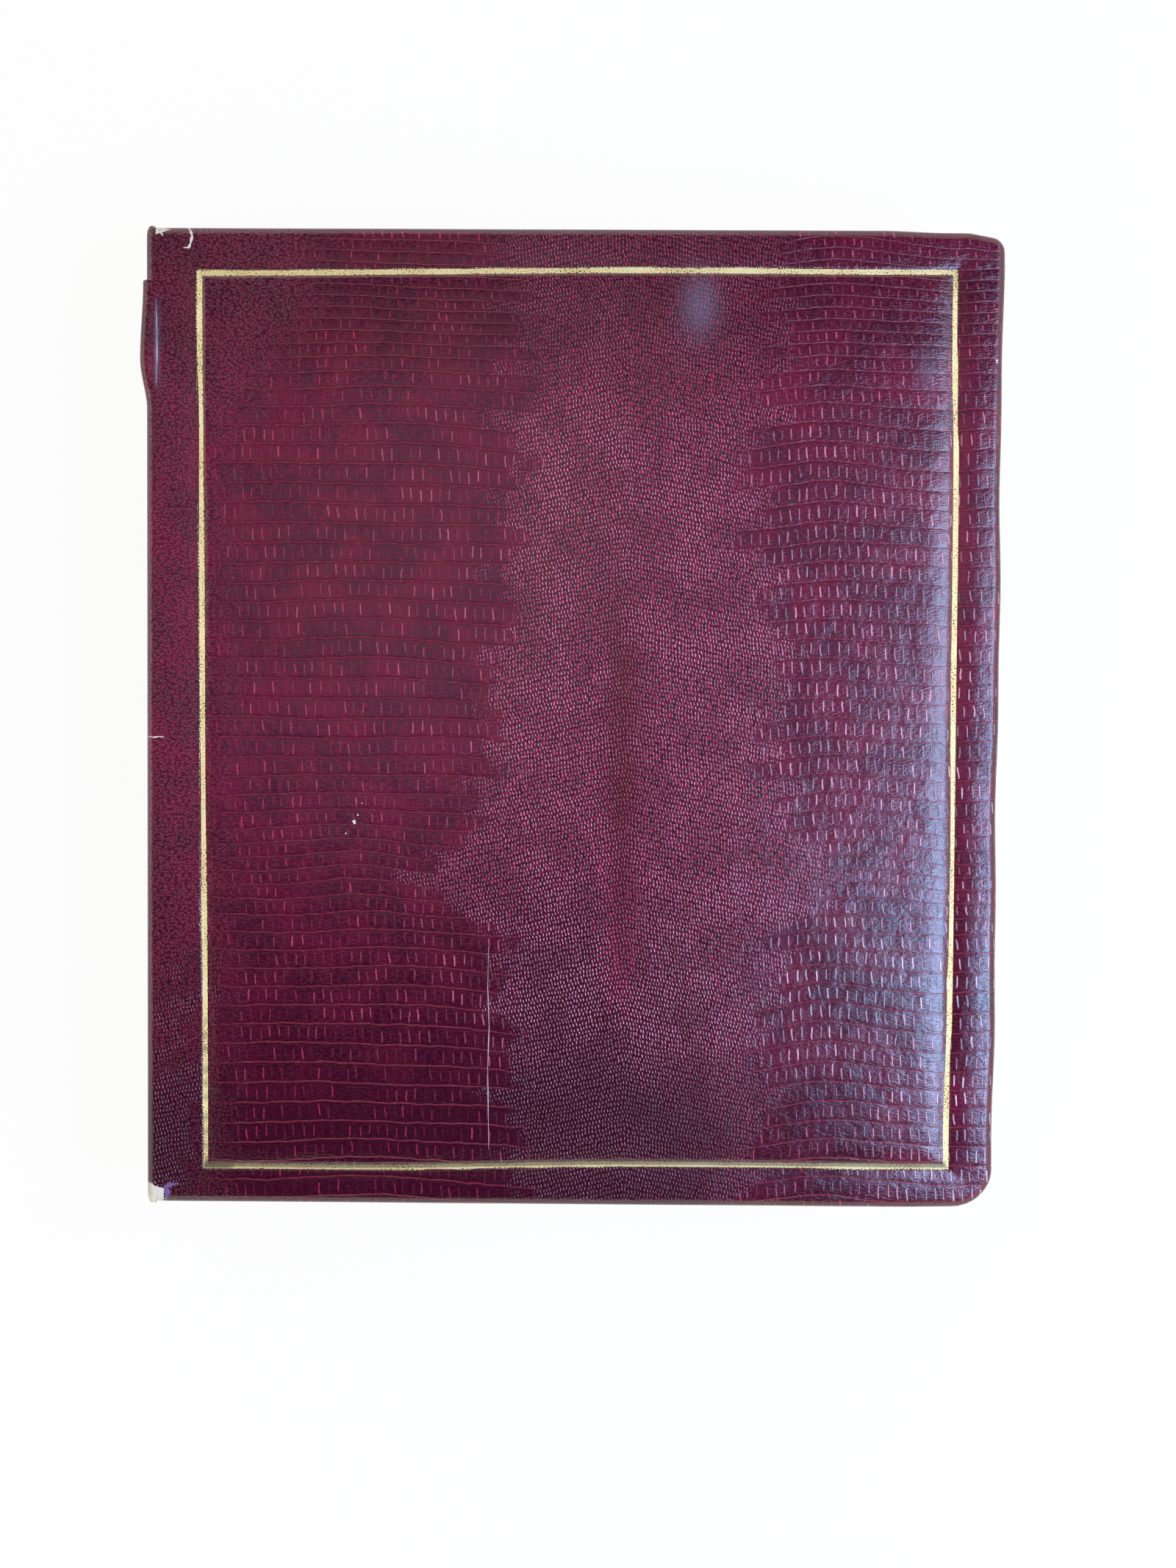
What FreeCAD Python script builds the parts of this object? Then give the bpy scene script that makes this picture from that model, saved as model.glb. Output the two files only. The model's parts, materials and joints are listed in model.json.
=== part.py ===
import FreeCAD, Part
import os
import re
import Sketcher

# Peg-fitting stamp album, closed and lying on its back cover.
# +X runs from the spine to the fore-edge, +Y from tail to head, +Z up.
# The origin is at the middle of the footprint, on the surface that the album lies on.

LEAF_COUNT = 20
PEG_COUNT = 3
RIVET_COUNT = 2

# Two places nearer than this, in millimetres, are the same place.
TOUCH = 1e-4

# Driving sizes in millimetres: name, value, what it measures.
SIZES = [
    ("cover_height", 292.0, "cover, tail to head over the leather"),
    ("cover_width", 255.0, "cover, spine plane to fore-edge over the leather"),
    ("leather_thickness", 0.9, "leather on the outside and round the edges"),
    ("padding_thickness", 2.0, "wadding between leather and board"),
    ("board_thickness", 2.6, "cover boards"),
    ("turn_in_thickness", 0.5, "pared leather turned in over the board, and the endpaper beside it"),
    ("turn_in_width", 14.0, "width of the leather turned in over the board"),
    ("corner_radius", 11.0, "fore-edge corners of the covers, seen from above"),
    ("edge_round", 2.8, "round of the padded edges"),
    ("fold_round", 0.8, "round of the leather where it turns in"),
    ("joint_radius", 2.6, "roll of the leather from cover to spine"),
    ("joint_gap", 0.3, "crease between the roll and the cover"),
    ("spine_bulge", 1.6, "bow of the spine beyond its own plane"),
    ("spine_board_thickness", 2.4, "bowed spine board"),
    ("spine_lining_thickness", 0.4, "cloth lining inside the spine"),
    ("spine_board_clearance", 0.4, "spine board and lining to the covers"),
    ("rule_width", 1.6, "gold rule"),
    ("rule_depth", 0.35, "groove that the gold rule is stamped in"),
    ("foil_thickness", 0.1, "gold foil in the groove"),
    ("rule_inset_spine_head", 16.3, "spine plane to the rule's middle, at the head"),
    ("rule_inset_spine_tail", 18.0, "spine plane to the rule's middle, at the tail"),
    ("rule_inset_fore", 13.8, "fore-edge to the rule's middle"),
    ("rule_inset_head", 13.0, "head edge to the rule's middle"),
    ("rule_inset_tail", 12.0, "tail edge to the rule's middle"),
    ("leaf_height", 270.0, "leaves, stubs and linen, tail to head"),
    ("leaf_width", 212.0, "leaf, from its hinge to its fore-edge"),
    ("leaf_thickness", 0.4, "album leaf"),
    ("stub_width", 26.0, "punched stub of a leaf"),
    ("stub_thickness", 0.93, "stub under its linen"),
    ("stub_gap", 0.02, "stub to the next stub"),
    ("linen_thickness", 0.25, "linen hinge"),
    ("linen_overlap", 10.0, "linen glued down on the stub"),
    ("linen_reach", 0.9, "free linen between the stub and the leaf"),
    ("hinge_gap", 0.1, "linen's end to the leaf's rounded edge"),
    ("stub_clearance", 1.4, "spine lining to the stubs"),
    ("plate_width", 18.0, "peg plate and clamp bar, across"),
    ("plate_length", 266.0, "peg plate and clamp bar, along the spine"),
    ("plate_thickness", 1.5, "peg plate"),
    ("plate_corner", 3.0, "corners of the peg plate"),
    ("peg_spacing", 100.0, "peg to peg"),
    ("peg_diameter", 6.0, "peg body and head"),
    ("neck_diameter", 4.0, "locking neck of a peg"),
    ("spigot_diameter", 3.6, "peg foot set in the plate"),
    ("head_thickness", 1.2, "peg head above the neck"),
    ("head_chamfer", 0.5, "bevel on a peg's head"),
    ("peg_clearance", 0.3, "peg to the edge of a punched hole"),
    ("fit_clearance", 0.05, "peg foot and rivet to their holes"),
    ("rivet_spacing", 100.0, "rivet to rivet"),
    ("rivet_diameter", 3.0, "rivet shank"),
    ("rivet_head", 6.0, "countersunk rivet head"),
    ("rivet_head_depth", 1.1, "countersunk rivet head"),
    ("clamp_gauge", 0.9, "sheet that the clamp bar is folded from"),
    ("lip_width", 1.5, "clamp bar's lip over the lock slide"),
    ("slide_thickness", 0.8, "lock slide"),
    ("slide_clearance", 0.1, "lock slide to the channel, above and below"),
    ("slide_side_clearance", 0.3, "lock slide to the channel's sides"),
    ("slide_travel", 8.0, "lock slide, locked to free"),
    ("knob_diameter", 8.0, "thumb button of the lock slide"),
    ("knob_waist", 6.4, "thumb button's foot"),
    ("knob_height", 1.6, "thumb button above the slide"),
    ("knob_foot", 0.5, "height of the thumb button's foot"),
    ("knob_bevel", 0.4, "bevels of the thumb button"),
    ("cover_clearance", 1.4, "peg heads to the closed front cover"),
]

# Sizes that follow from the driving ones: name, formula.
DERIVED = [
    ("leaf_pitch", "stub_thickness + linen_thickness + stub_gap"),
    ("cover_thickness", "leather_thickness + padding_thickness + board_thickness + turn_in_thickness"),
    ("stack_bottom", "cover_thickness + plate_thickness"),
    ("stack_top", f"stack_bottom + {LEAF_COUNT} * leaf_pitch"),
    ("slide_bottom", "stack_top + clamp_gauge + slide_clearance"),
    ("slide_top", "slide_bottom + slide_thickness"),
    ("neck_bottom", "slide_bottom - slide_clearance"),
    ("neck_top", "slide_top + slide_clearance"),
    ("peg_top", "neck_top + head_thickness"),
    ("inside_top", "peg_top + cover_clearance"),
    ("album_thickness", "inside_top + cover_thickness"),
    ("spine_plane", "(spine_bulge - cover_width) / 2"),
    ("fore_edge", "(spine_bulge + cover_width) / 2"),
    ("half_height", "cover_height / 2"),
    ("cover_start", "spine_plane + joint_radius + joint_gap"),
    ("half_spine", "album_thickness / 2 - joint_radius"),
    ("bow_lean", "2 * atan(spine_bulge / half_spine)"),
    ("bow_radius", "joint_radius + half_spine / sin(bow_lean)"),
    ("bow_middle", "spine_plane - spine_bulge + bow_radius"),
    ("spine_inside", "spine_plane + leather_thickness + spine_board_thickness + spine_lining_thickness"),
    ("stub_start", "spine_inside + stub_clearance"),
    ("stub_end", "stub_start + stub_width"),
    ("leaf_hinge", "stub_end + linen_reach + hinge_gap + leaf_thickness / 2"),
    ("peg_line", "stub_start + plate_width / 2"),
    ("slide_width", "plate_width - 2 * clamp_gauge - 2 * slide_side_clearance"),
    ("slide_length", "plate_length - slide_travel"),
]

doc = FreeCAD.newDocument("StampAlbum")
sheet = doc.addObject("Spreadsheet::Sheet", "Sizes")
NAMES = [entry[0] for entry in SIZES + DERIVED]


# Formulas in the sheet's names.

def fill_sheet():
    """Write the driving sizes and the sizes that follow from them, each under its own name."""
    rows = [(name, str(size), meaning) for name, size, meaning in SIZES]
    rows += [(name, "=" + formula, "follows from the sizes above") for name, formula in DERIVED]
    for row, (name, content, meaning) in enumerate(rows, start=1):
        sheet.set(f"A{row}", meaning)
        sheet.set(f"B{row}", content)
        sheet.setAlias(f"B{row}", name)
    doc.recompute()


def sized(formula):
    """Point every size's name in a formula at its cell."""
    def cell(word):
        return "Sizes." + word.group() if word.group() in NAMES else word.group()
    return re.sub(r"[a-z]\w*", cell, formula)


def value(formula):
    """Work a formula out now, in millimetres."""
    result = sheet.evalExpression(sized(formula))
    return float(getattr(result, "Value", result))


# Sketches whose points are tied to formulas.

def add_body(label, x="0", y="0", z="0"):
    """Start a piece whose own origin lies at the given place."""
    body = doc.addObject("PartDesign::Body", label)
    body.Label = label
    body.AllowCompound = True
    for axis, formula in zip("xyz", (x, y, z)):
        body.setExpression(f"Placement.Base.{axis}", sized(formula))
    return body


def origin_feature(body, role):
    """Find one of a piece's own origin planes or axes."""
    return next(feature for feature in body.Origin.OriginFeatures if feature.Role == role)


def add_sketch(body, name, plane="XY_Plane", level="0"):
    """Lay a sketch on one of the piece's planes, raised by a formula along the plane's normal."""
    sketch = body.newObject("Sketcher::SketchObject", name)
    sketch.AttachmentSupport = [(origin_feature(body, plane), "")]
    sketch.MapMode = "FlatFace"
    sketch.setExpression("AttachmentOffset.Base.z", sized(level))
    return sketch


def tie(sketch, constraint, formula):
    """Add a dimension and bind it to a formula."""
    index = sketch.addConstraint(constraint)
    sketch.setExpression(f"Constraints[{index}]", sized(formula))


def pin(sketch, curve, end, x, y):
    """Tie one end, or the centre, of a curve to its place."""
    tie(sketch, Sketcher.Constraint("DistanceX", -1, 1, curve, end, value(x)), x)
    tie(sketch, Sketcher.Constraint("DistanceY", -1, 1, curve, end, value(y)), y)


def polygon(sketch, corners):
    """Draw a closed outline of straight lines through corners given as formulas."""
    points = [FreeCAD.Vector(value(x), value(y), 0) for x, y in corners]
    first = sketch.GeometryCount
    count = len(points)
    for index in range(count):
        sketch.addGeometry(Part.LineSegment(points[index], points[(index + 1) % count]))
    for index, (x, y) in enumerate(corners):
        following = first + (index + 1) % count
        sketch.addConstraint(Sketcher.Constraint("Coincident", first + index, 2, following, 1))
        pin(sketch, first + index, 1, x, y)


def rectangle(sketch, x_low, x_high, y_low, y_high):
    """Draw an upright rectangle between four formulas."""
    polygon(sketch, [(x_low, y_low), (x_high, y_low), (x_high, y_high), (x_low, y_high)])


def radians(*degrees):
    """Turn angles in degrees into radians."""
    return [FreeCAD.Units.Quantity(f"{angle} deg").getValueAs("rad").Value for angle in degrees]


def arc(sketch, x, y, radius, start, end):
    """Draw an arc between two angles in degrees and tie its radius."""
    centre = FreeCAD.Vector(value(x), value(y), 0)
    ring = Part.Circle(centre, FreeCAD.Vector(0, 0, 1), value(radius))
    index = sketch.addGeometry(Part.ArcOfCircle(ring, *radians(start, end)))
    tie(sketch, Sketcher.Constraint("Radius", index, value(radius)), radius)
    return index


def round_ended(sketch, corners, x, y, radius, start):
    """Draw a strip with two square corners and a half-round end about a given centre."""
    points = [FreeCAD.Vector(value(place_x), value(place_y), 0) for place_x, place_y in corners]
    end = arc(sketch, x, y, radius, start, start + 180)
    pin(sketch, end, 3, x, y)
    square = sketch.addGeometry(Part.LineSegment(*points))
    out = sketch.addGeometry(Part.LineSegment(points[1], sketch.getPoint(end, 1)))
    back = sketch.addGeometry(Part.LineSegment(sketch.getPoint(end, 2), points[0]))
    pin(sketch, square, 1, *corners[0])
    pin(sketch, square, 2, *corners[1])
    sketch.addConstraint(Sketcher.Constraint("Coincident", out, 1, square, 2))
    sketch.addConstraint(Sketcher.Constraint("Coincident", back, 2, square, 1))
    sketch.addConstraint(Sketcher.Constraint("Tangent", out, 2, end, 1))
    sketch.addConstraint(Sketcher.Constraint("Tangent", end, 2, back, 1))


def join_ends(sketch, first, second, end):
    """Draw a straight line between the same ends of two curves."""
    line = sketch.addGeometry(Part.LineSegment(sketch.getPoint(first, end), sketch.getPoint(second, end)))
    sketch.addConstraint(Sketcher.Constraint("Coincident", line, 1, first, end))
    sketch.addConstraint(Sketcher.Constraint("Coincident", line, 2, second, end))


def circle(sketch, x, y, diameter):
    """Draw a circle of a given diameter at a given place."""
    centre = FreeCAD.Vector(value(x), value(y), 0)
    up = FreeCAD.Vector(0, 0, 1)
    index = sketch.addGeometry(Part.Circle(centre, up, value(diameter) / 2))
    pin(sketch, index, 3, x, y)
    tie(sketch, Sketcher.Constraint("Diameter", index, value(diameter)), diameter)


def row_places(count, spacing):
    """Places of a row of equal steps that is centred on zero, as formulas."""
    return [f"{step - (count - 1) / 2} * {spacing}" for step in range(count)]


# Solid features.

def pad(body, sketch, length, symmetric=False):
    """Raise a sketch to a length, or to both sides of its plane."""
    feature = body.newObject("PartDesign::Pad", sketch.Name + "Pad")
    feature.Profile = sketch
    feature.setExpression("Length", sized(length))
    feature.SideType = "Symmetric" if symmetric else "One side"
    doc.recompute()
    return feature


def pocket(body, sketch, depth):
    """Cut a sketch down into the piece."""
    before = body.Shape.Volume
    feature = body.newObject("PartDesign::Pocket", sketch.Name + "Pocket")
    feature.Profile = sketch
    feature.setExpression("Length", sized(depth))
    doc.recompute()
    if not body.Shape.Volume < before:
        raise RuntimeError(f"{feature.Label} cuts nothing")
    return feature


def turn(body, sketch, kind="PartDesign::Revolution"):
    """Turn a sketch about its own upright axis, as a solid or as a cut."""
    feature = body.newObject(kind, sketch.Name + "Turned")
    feature.Profile = sketch
    feature.ReferenceAxis = (sketch, ["V_Axis"])
    feature.Angle = 360
    doc.recompute()
    return feature


def repeat(body, features, axis, count, spacing):
    """Repeat features in a row along one of the piece's axes."""
    feature = body.newObject("PartDesign::LinearPattern", features[0].Name + "Row")
    feature.Originals = features
    feature.Direction = (origin_feature(body, axis), [""])
    feature.Occurrences = count
    feature.setExpression("Length", sized(f"{count - 1} * {spacing}"))
    body.Tip = feature
    doc.recompute()
    return feature


def round_edges(body, chosen, radius):
    """Round the edges of the piece's last feature that a test on the edge picks out."""
    base = body.Tip
    names = [f"Edge{index}" for index, edge in enumerate(base.Shape.Edges, start=1) if chosen(edge)]
    feature = body.newObject("PartDesign::Fillet", base.Name + "Round")
    feature.Base = (base, names)
    feature.setExpression("Radius", sized(radius))
    doc.recompute()
    return feature


def lies_at(edge, axis, formula):
    """True where a whole edge lies at one value of x, y or z."""
    box = edge.BoundBox
    low = getattr(box, axis + "Min")
    high = getattr(box, axis + "Max")
    place = value(formula)
    return abs(low - place) < TOUCH and abs(high - place) < TOUCH


def upright(edge):
    """True for an edge that runs straight up."""
    box = edge.BoundBox
    return box.XLength < TOUCH and box.YLength < TOUCH


# Covers: both are the same sandwich, laid out from the outer face inwards.

COVER_SIDES = {"front": "album_thickness - ({})", "back": "({})"}


def level_range(side, outer, inner):
    """Lowest and highest level of a layer, from two depths below the cover's outer face."""
    levels = [COVER_SIDES[side].format(depth) for depth in (outer, inner)]
    return sorted(levels, key=value)


def cover_layer(side, label, outer, inner, inset):
    """A board-shaped layer between two depths, inset from head, tail and fore-edge."""
    low, high = level_range(side, outer, inner)
    body = add_body(label)
    sketch = add_sketch(body, label + "_outline", "XY_Plane", low)
    edge = f"half_height - ({inset})"
    rectangle(sketch, "cover_start", f"fore_edge - ({inset})", f"-({edge})", edge)
    pad(body, sketch, f"({high}) - ({low})")
    return body


def round_fore_corners(body, inset, radius):
    """Round a layer's two upright corners at the fore-edge."""
    place = f"fore_edge - ({inset})"
    round_edges(body, lambda edge: upright(edge) and lies_at(edge, "X", place), radius)


def round_rim(body, side, depth, radius):
    """Round a layer's rim at one depth along head, tail and fore-edge, but not along the spine."""
    level = COVER_SIDES[side].format(depth)
    spine_edge = "cover_start"
    round_edges(body, lambda edge: lies_at(edge, "Z", level) and not lies_at(edge, "X", spine_edge), radius)


def drill_rivet_holes(body, level, depth):
    """Drill a back cover layer for the rivets of the peg plate."""
    sketch = add_sketch(body, body.Label + "_rivet_holes", "XY_Plane", level)
    for place in row_places(RIVET_COUNT, "rivet_spacing"):
        circle(sketch, "peg_line", place, "rivet_diameter + 2 * fit_clearance")
    pocket(body, sketch, depth)


def make_cover(side):
    """Board, wadding, endpaper and the leather that is wrapped round them."""
    board_depth = "leather_thickness + padding_thickness"
    paper_depth = "cover_thickness - turn_in_thickness"
    board = cover_layer(side, side + "_board", board_depth, paper_depth, "leather_thickness")
    round_fore_corners(board, "leather_thickness", "corner_radius - leather_thickness")
    padding = cover_layer(side, side + "_padding", "leather_thickness", board_depth, "leather_thickness")
    round_fore_corners(padding, "leather_thickness", "corner_radius - leather_thickness")
    soft_round = "min(edge_round - leather_thickness; padding_thickness * 0.95)"
    round_rim(padding, side, "leather_thickness", soft_round)
    paper = cover_layer(side, side + "_endpaper", paper_depth, "cover_thickness", "turn_in_width")
    if side == "back":
        drill_rivet_holes(board, paper_depth, "board_thickness")
        drill_rivet_holes(paper, "cover_thickness", "turn_in_thickness")
    outside = cover_layer(side, side + "_outside", "0", "cover_thickness", "0")
    round_fore_corners(outside, "0", "corner_radius")
    round_rim(outside, side, "0", "edge_round")
    round_rim(outside, side, "cover_thickness", "fold_round")
    if side == "front":
        groove = add_sketch(outside, "rule_groove", "XY_Plane", "album_thickness")
        draw_rule(groove)
        pocket(outside, groove, "rule_depth")
    filling = doc.addObject("Part::MultiFuse", side + "_filling")
    filling.Shapes = [plain_layer(side, "board", board_depth, paper_depth), padding,
                      plain_layer(side, "endpaper", paper_depth, "cover_thickness")]
    leather = doc.addObject("Part::Cut", side + "_leather")
    leather.Label = side + "_leather"
    leather.Base = outside
    leather.Tool = filling
    doc.recompute()


def plain_layer(side, kind, outer, inner):
    """The space that an undrilled board or endpaper takes up inside the leather."""
    inset = "leather_thickness" if kind == "board" else "turn_in_width"
    space = cover_layer(side, f"{side}_{kind}_space", outer, inner, inset)
    if kind == "board":
        round_fore_corners(space, inset, "corner_radius - leather_thickness")
    return space


def draw_rule(sketch):
    """The gold rule: a frame one rule's width wide, set a little further in at the spine's tail."""
    for sign in ("-", "+"):
        shift = f"{sign} rule_width / 2"
        head = f"half_height - (rule_inset_head {shift})"
        tail = f"-(half_height - (rule_inset_tail {shift}))"
        fore = f"fore_edge - (rule_inset_fore {shift})"
        spine_head = f"spine_plane + rule_inset_spine_head {shift}"
        spine_tail = f"spine_plane + rule_inset_spine_tail {shift}"
        polygon(sketch, [(spine_tail, tail), (fore, tail), (fore, head), (spine_head, head)])


def make_gold_rule():
    """Foil laid on the bottom of the stamped groove."""
    body = add_body("front_gold_rule")
    sketch = add_sketch(body, "gold_rule_outline", "XY_Plane", "album_thickness - rule_depth")
    draw_rule(sketch)
    pad(body, sketch, "foil_thickness")


# Spine: leather with its two rolls, and a bowed board with its lining.

def spine_curve(sketch, inset):
    """Roll, bow and roll of the spine leather, at a given depth under its outer face."""
    roll = f"joint_radius - ({inset})"
    bow = f"bow_radius - ({inset})"
    lean = value("bow_lean")
    roll_end = "spine_plane + joint_radius"
    upper = arc(sketch, roll_end, "album_thickness - joint_radius", roll, 90, 180 - lean)
    lower = arc(sketch, roll_end, "joint_radius", roll, 180 + lean, 270)
    belly = arc(sketch, "bow_middle", "album_thickness / 2", bow, 180 - lean, 180 + lean)
    pin(sketch, belly, 3, "bow_middle", "album_thickness / 2")
    pin(sketch, upper, 1, roll_end, f"album_thickness - ({inset})")
    pin(sketch, lower, 2, roll_end, inset)
    sketch.addConstraint(Sketcher.Constraint("Tangent", upper, 2, belly, 1))
    sketch.addConstraint(Sketcher.Constraint("Tangent", belly, 2, lower, 1))
    return upper, lower


def make_spine_leather():
    """One strip of leather, rolled at both joints and bowed between them."""
    body = add_body("spine_leather")
    sketch = add_sketch(body, "spine_leather_section", "XZ_Plane")
    outer = spine_curve(sketch, "0")
    inner = spine_curve(sketch, "leather_thickness")
    join_ends(sketch, outer[0], inner[0], 1)
    join_ends(sketch, outer[1], inner[1], 2)
    pad(body, sketch, "cover_height", symmetric=True)


def make_bowed_strip(label, depth, thickness, height):
    """A strip behind the spine leather, bowed about the same middle and cut level at both ends."""
    body = add_body(label)
    sketch = add_sketch(body, label + "_section", "XZ_Plane")
    low = "cover_thickness + spine_board_clearance"
    high = "inside_top - spine_board_clearance"
    reach = "(album_thickness / 2 - cover_thickness - spine_board_clearance)"
    faces = []
    for inset in (depth, f"{depth} + {thickness}"):
        radius = f"bow_radius - ({inset})"
        half_sweep = value(f"asin({reach} / ({radius}))")
        face = arc(sketch, "bow_middle", "album_thickness / 2", radius, 180 - half_sweep, 180 + half_sweep)
        pin(sketch, face, 3, "bow_middle", "album_thickness / 2")
        for end, level in ((1, high), (2, low)):
            tie(sketch, Sketcher.Constraint("DistanceY", -1, 1, face, end, value(level)), level)
        faces.append(face)
    join_ends(sketch, *faces, 1)
    join_ends(sketch, *faces, 2)
    pad(body, sketch, height, symmetric=True)


def make_spine():
    """Leather, board and lining of the spine."""
    make_spine_leather()
    inside_height = "cover_height - 2 * leather_thickness"
    make_bowed_strip("spine_board", "leather_thickness", "spine_board_thickness", inside_height)
    lining_depth = "leather_thickness + spine_board_thickness"
    make_bowed_strip("spine_lining", lining_depth, "spine_lining_thickness", inside_height)


# Peg fitting.

def make_peg_plate():
    """Flat steel plate with holes for the pegs' feet and countersunk holes for its rivets."""
    body = add_body("peg_plate", "peg_line", "0", "cover_thickness")
    sketch = add_sketch(body, "peg_plate_outline")
    rectangle(sketch, "-plate_width / 2", "plate_width / 2", "-plate_length / 2", "plate_length / 2")
    for place in row_places(PEG_COUNT, "peg_spacing"):
        circle(sketch, "0", place, "spigot_diameter + 2 * fit_clearance")
    pad(body, sketch, "plate_thickness")
    sides = ("plate_width / 2", "-plate_width / 2")
    corners = "plate_corner"
    round_edges(body, lambda edge: upright(edge) and any(lies_at(edge, "X", side) for side in sides), corners)
    countersink = add_sketch(body, "countersink", "XZ_Plane", "rivet_spacing * " + str((RIVET_COUNT - 1) / 2))
    draw_rivet(countersink, "0", "plate_thickness", "fit_clearance")
    cut = turn(body, countersink, "PartDesign::Groove")
    repeat(body, [cut], "Y_Axis", RIVET_COUNT, "rivet_spacing")


def draw_rivet(sketch, bottom, top, clearance):
    """Half of a countersunk rivet, drawn beside its own axis."""
    shank = f"rivet_diameter / 2 + {clearance}"
    head = f"rivet_head / 2 + {clearance}"
    shoulder = f"{top} - rivet_head_depth"
    polygon(sketch, [("0", bottom), (shank, bottom), (shank, shoulder), (head, top), ("0", top)])


def make_plate_rivets():
    """Countersunk rivets through plate, endpaper and back board, set flush at both ends."""
    body = add_body("plate_rivets", "peg_line")
    sketch = add_sketch(body, "rivet_section", "XZ_Plane", "rivet_spacing * " + str((RIVET_COUNT - 1) / 2))
    draw_rivet(sketch, "leather_thickness + padding_thickness", "stack_bottom", "0")
    rivet = turn(body, sketch)
    repeat(body, [rivet], "Y_Axis", RIVET_COUNT, "rivet_spacing")


def make_pegs():
    """Turned pegs: foot in the plate, body through the stubs, neck for the lock slide, bevelled head."""
    body = add_body("pegs", "peg_line")
    sketch = add_sketch(body, "peg_section", "XZ_Plane", "peg_spacing * " + str((PEG_COUNT - 1) / 2))
    foot = "spigot_diameter / 2"
    side = "peg_diameter / 2"
    neck = "neck_diameter / 2"
    polygon(sketch, [
        ("0", "cover_thickness"), (foot, "cover_thickness"), (foot, "stack_bottom"),
        (side, "stack_bottom"), (side, "neck_bottom"), (neck, "neck_bottom"), (neck, "neck_top"),
        (side, "neck_top"), (side, "peg_top - head_chamfer"), (f"{side} - head_chamfer", "peg_top"),
        ("0", "peg_top"),
    ])
    peg = turn(body, sketch)
    repeat(body, [peg], "Y_Axis", PEG_COUNT, "peg_spacing")


def make_clamp_bar():
    """Folded channel that presses on the stubs and guides the lock slide under its lips."""
    body = add_body("clamp_bar", "peg_line", "0", "stack_top")
    sketch = add_sketch(body, "clamp_section", "XZ_Plane")
    side = "plate_width / 2"
    wall = f"{side} - clamp_gauge"
    lip = f"{wall} - lip_width"
    floor = "clamp_gauge"
    roof = "clamp_gauge + slide_thickness + 2 * slide_clearance"
    top = f"{roof} + clamp_gauge"
    right = [(side, "0"), (side, top), (lip, top), (lip, roof), (wall, roof), (wall, floor)]
    left = [(f"-({x})", z) for x, z in reversed(right)]
    polygon(sketch, right + left)
    pad(body, sketch, "plate_length", symmetric=True)
    holes = add_sketch(body, "clamp_peg_holes", "XY_Plane", floor)
    for place in row_places(PEG_COUNT, "peg_spacing"):
        circle(holes, "0", place, "peg_diameter + 2 * peg_clearance")
    pocket(body, holes, "clamp_gauge")


def make_lock_slide():
    """Flat slide with a keyhole for each peg: the neck sits in the slot, the eye lets the head pass."""
    body = add_body("lock_slide", "peg_line", "0", "slide_bottom")
    sketch = add_sketch(body, "slide_outline")
    low = "-plate_length / 2"
    rectangle(sketch, "-slide_width / 2", "slide_width / 2", low, f"{low} + slide_length")
    pad(body, sketch, "slide_thickness")
    first_peg = row_places(PEG_COUNT, "peg_spacing")[0]
    eye_sketch = add_sketch(body, "keyhole_eye", "XY_Plane", "slide_thickness")
    eye_place = f"{first_peg} - slide_travel"
    circle(eye_sketch, "0", eye_place, "peg_diameter + 2 * peg_clearance")
    eye = pocket(body, eye_sketch, "slide_thickness")
    slot_sketch = add_sketch(body, "keyhole_slot", "XY_Plane", "slide_thickness")
    half_slot = "neck_diameter / 2 + peg_clearance"
    corners = [(f"-({half_slot})", eye_place), (half_slot, eye_place)]
    round_ended(slot_sketch, corners, "0", first_peg, half_slot, 0)
    slot = pocket(body, slot_sketch, "slide_thickness")
    repeat(body, [eye, slot], "Y_Axis", PEG_COUNT, "peg_spacing")


def make_lock_knob():
    """Low turned thumb button on the lock slide, midway between two pegs."""
    body = add_body("lock_knob", "peg_line", "-peg_spacing / 2", "slide_top")
    sketch = add_sketch(body, "knob_section", "XZ_Plane")
    waist = "knob_waist / 2"
    side = "knob_diameter / 2"
    polygon(sketch, [
        ("0", "0"), (waist, "0"), (waist, "knob_foot"), (side, "knob_foot + knob_bevel"),
        (side, "knob_height - knob_bevel"), (f"{side} - knob_bevel", "knob_height"), ("0", "knob_height"),
    ])
    turn(body, sketch)


# Leaves.

def make_leaf_stubs():
    """Card stubs, each with a rebate for its linen, punched through for the pegs."""
    body = add_body("leaf_stubs", "0", "0", "stack_bottom")
    sketch = add_sketch(body, "stub_section", "XZ_Plane")
    rebate = "stub_end - linen_overlap"
    top = "stub_thickness + linen_thickness"
    polygon(sketch, [
        ("stub_start", "0"), ("stub_end", "0"), ("stub_end", "stub_thickness"),
        (rebate, "stub_thickness"), (rebate, top), ("stub_start", top),
    ])
    stub = pad(body, sketch, "leaf_height", symmetric=True)
    repeat(body, [stub], "Z_Axis", LEAF_COUNT, "leaf_pitch")
    holes = add_sketch(body, "stub_peg_holes", "XY_Plane", f"{LEAF_COUNT} * leaf_pitch")
    for place in row_places(PEG_COUNT, "peg_spacing"):
        circle(holes, "peg_line", place, "peg_diameter + 2 * peg_clearance")
    pocket(body, holes, f"{LEAF_COUNT} * leaf_pitch")


def make_linen_hinges():
    """Linen strips, glued into the stubs' rebates and reaching out to the leaves."""
    body = add_body("linen_hinges", "0", "0", "stack_bottom + stub_thickness")
    sketch = add_sketch(body, "linen_outline")
    half = "leaf_height / 2"
    rectangle(sketch, "stub_end - linen_overlap", "stub_end + linen_reach", f"-{half}", half)
    strip = pad(body, sketch, "linen_thickness")
    repeat(body, [strip], "Z_Axis", LEAF_COUNT, "leaf_pitch")


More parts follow.
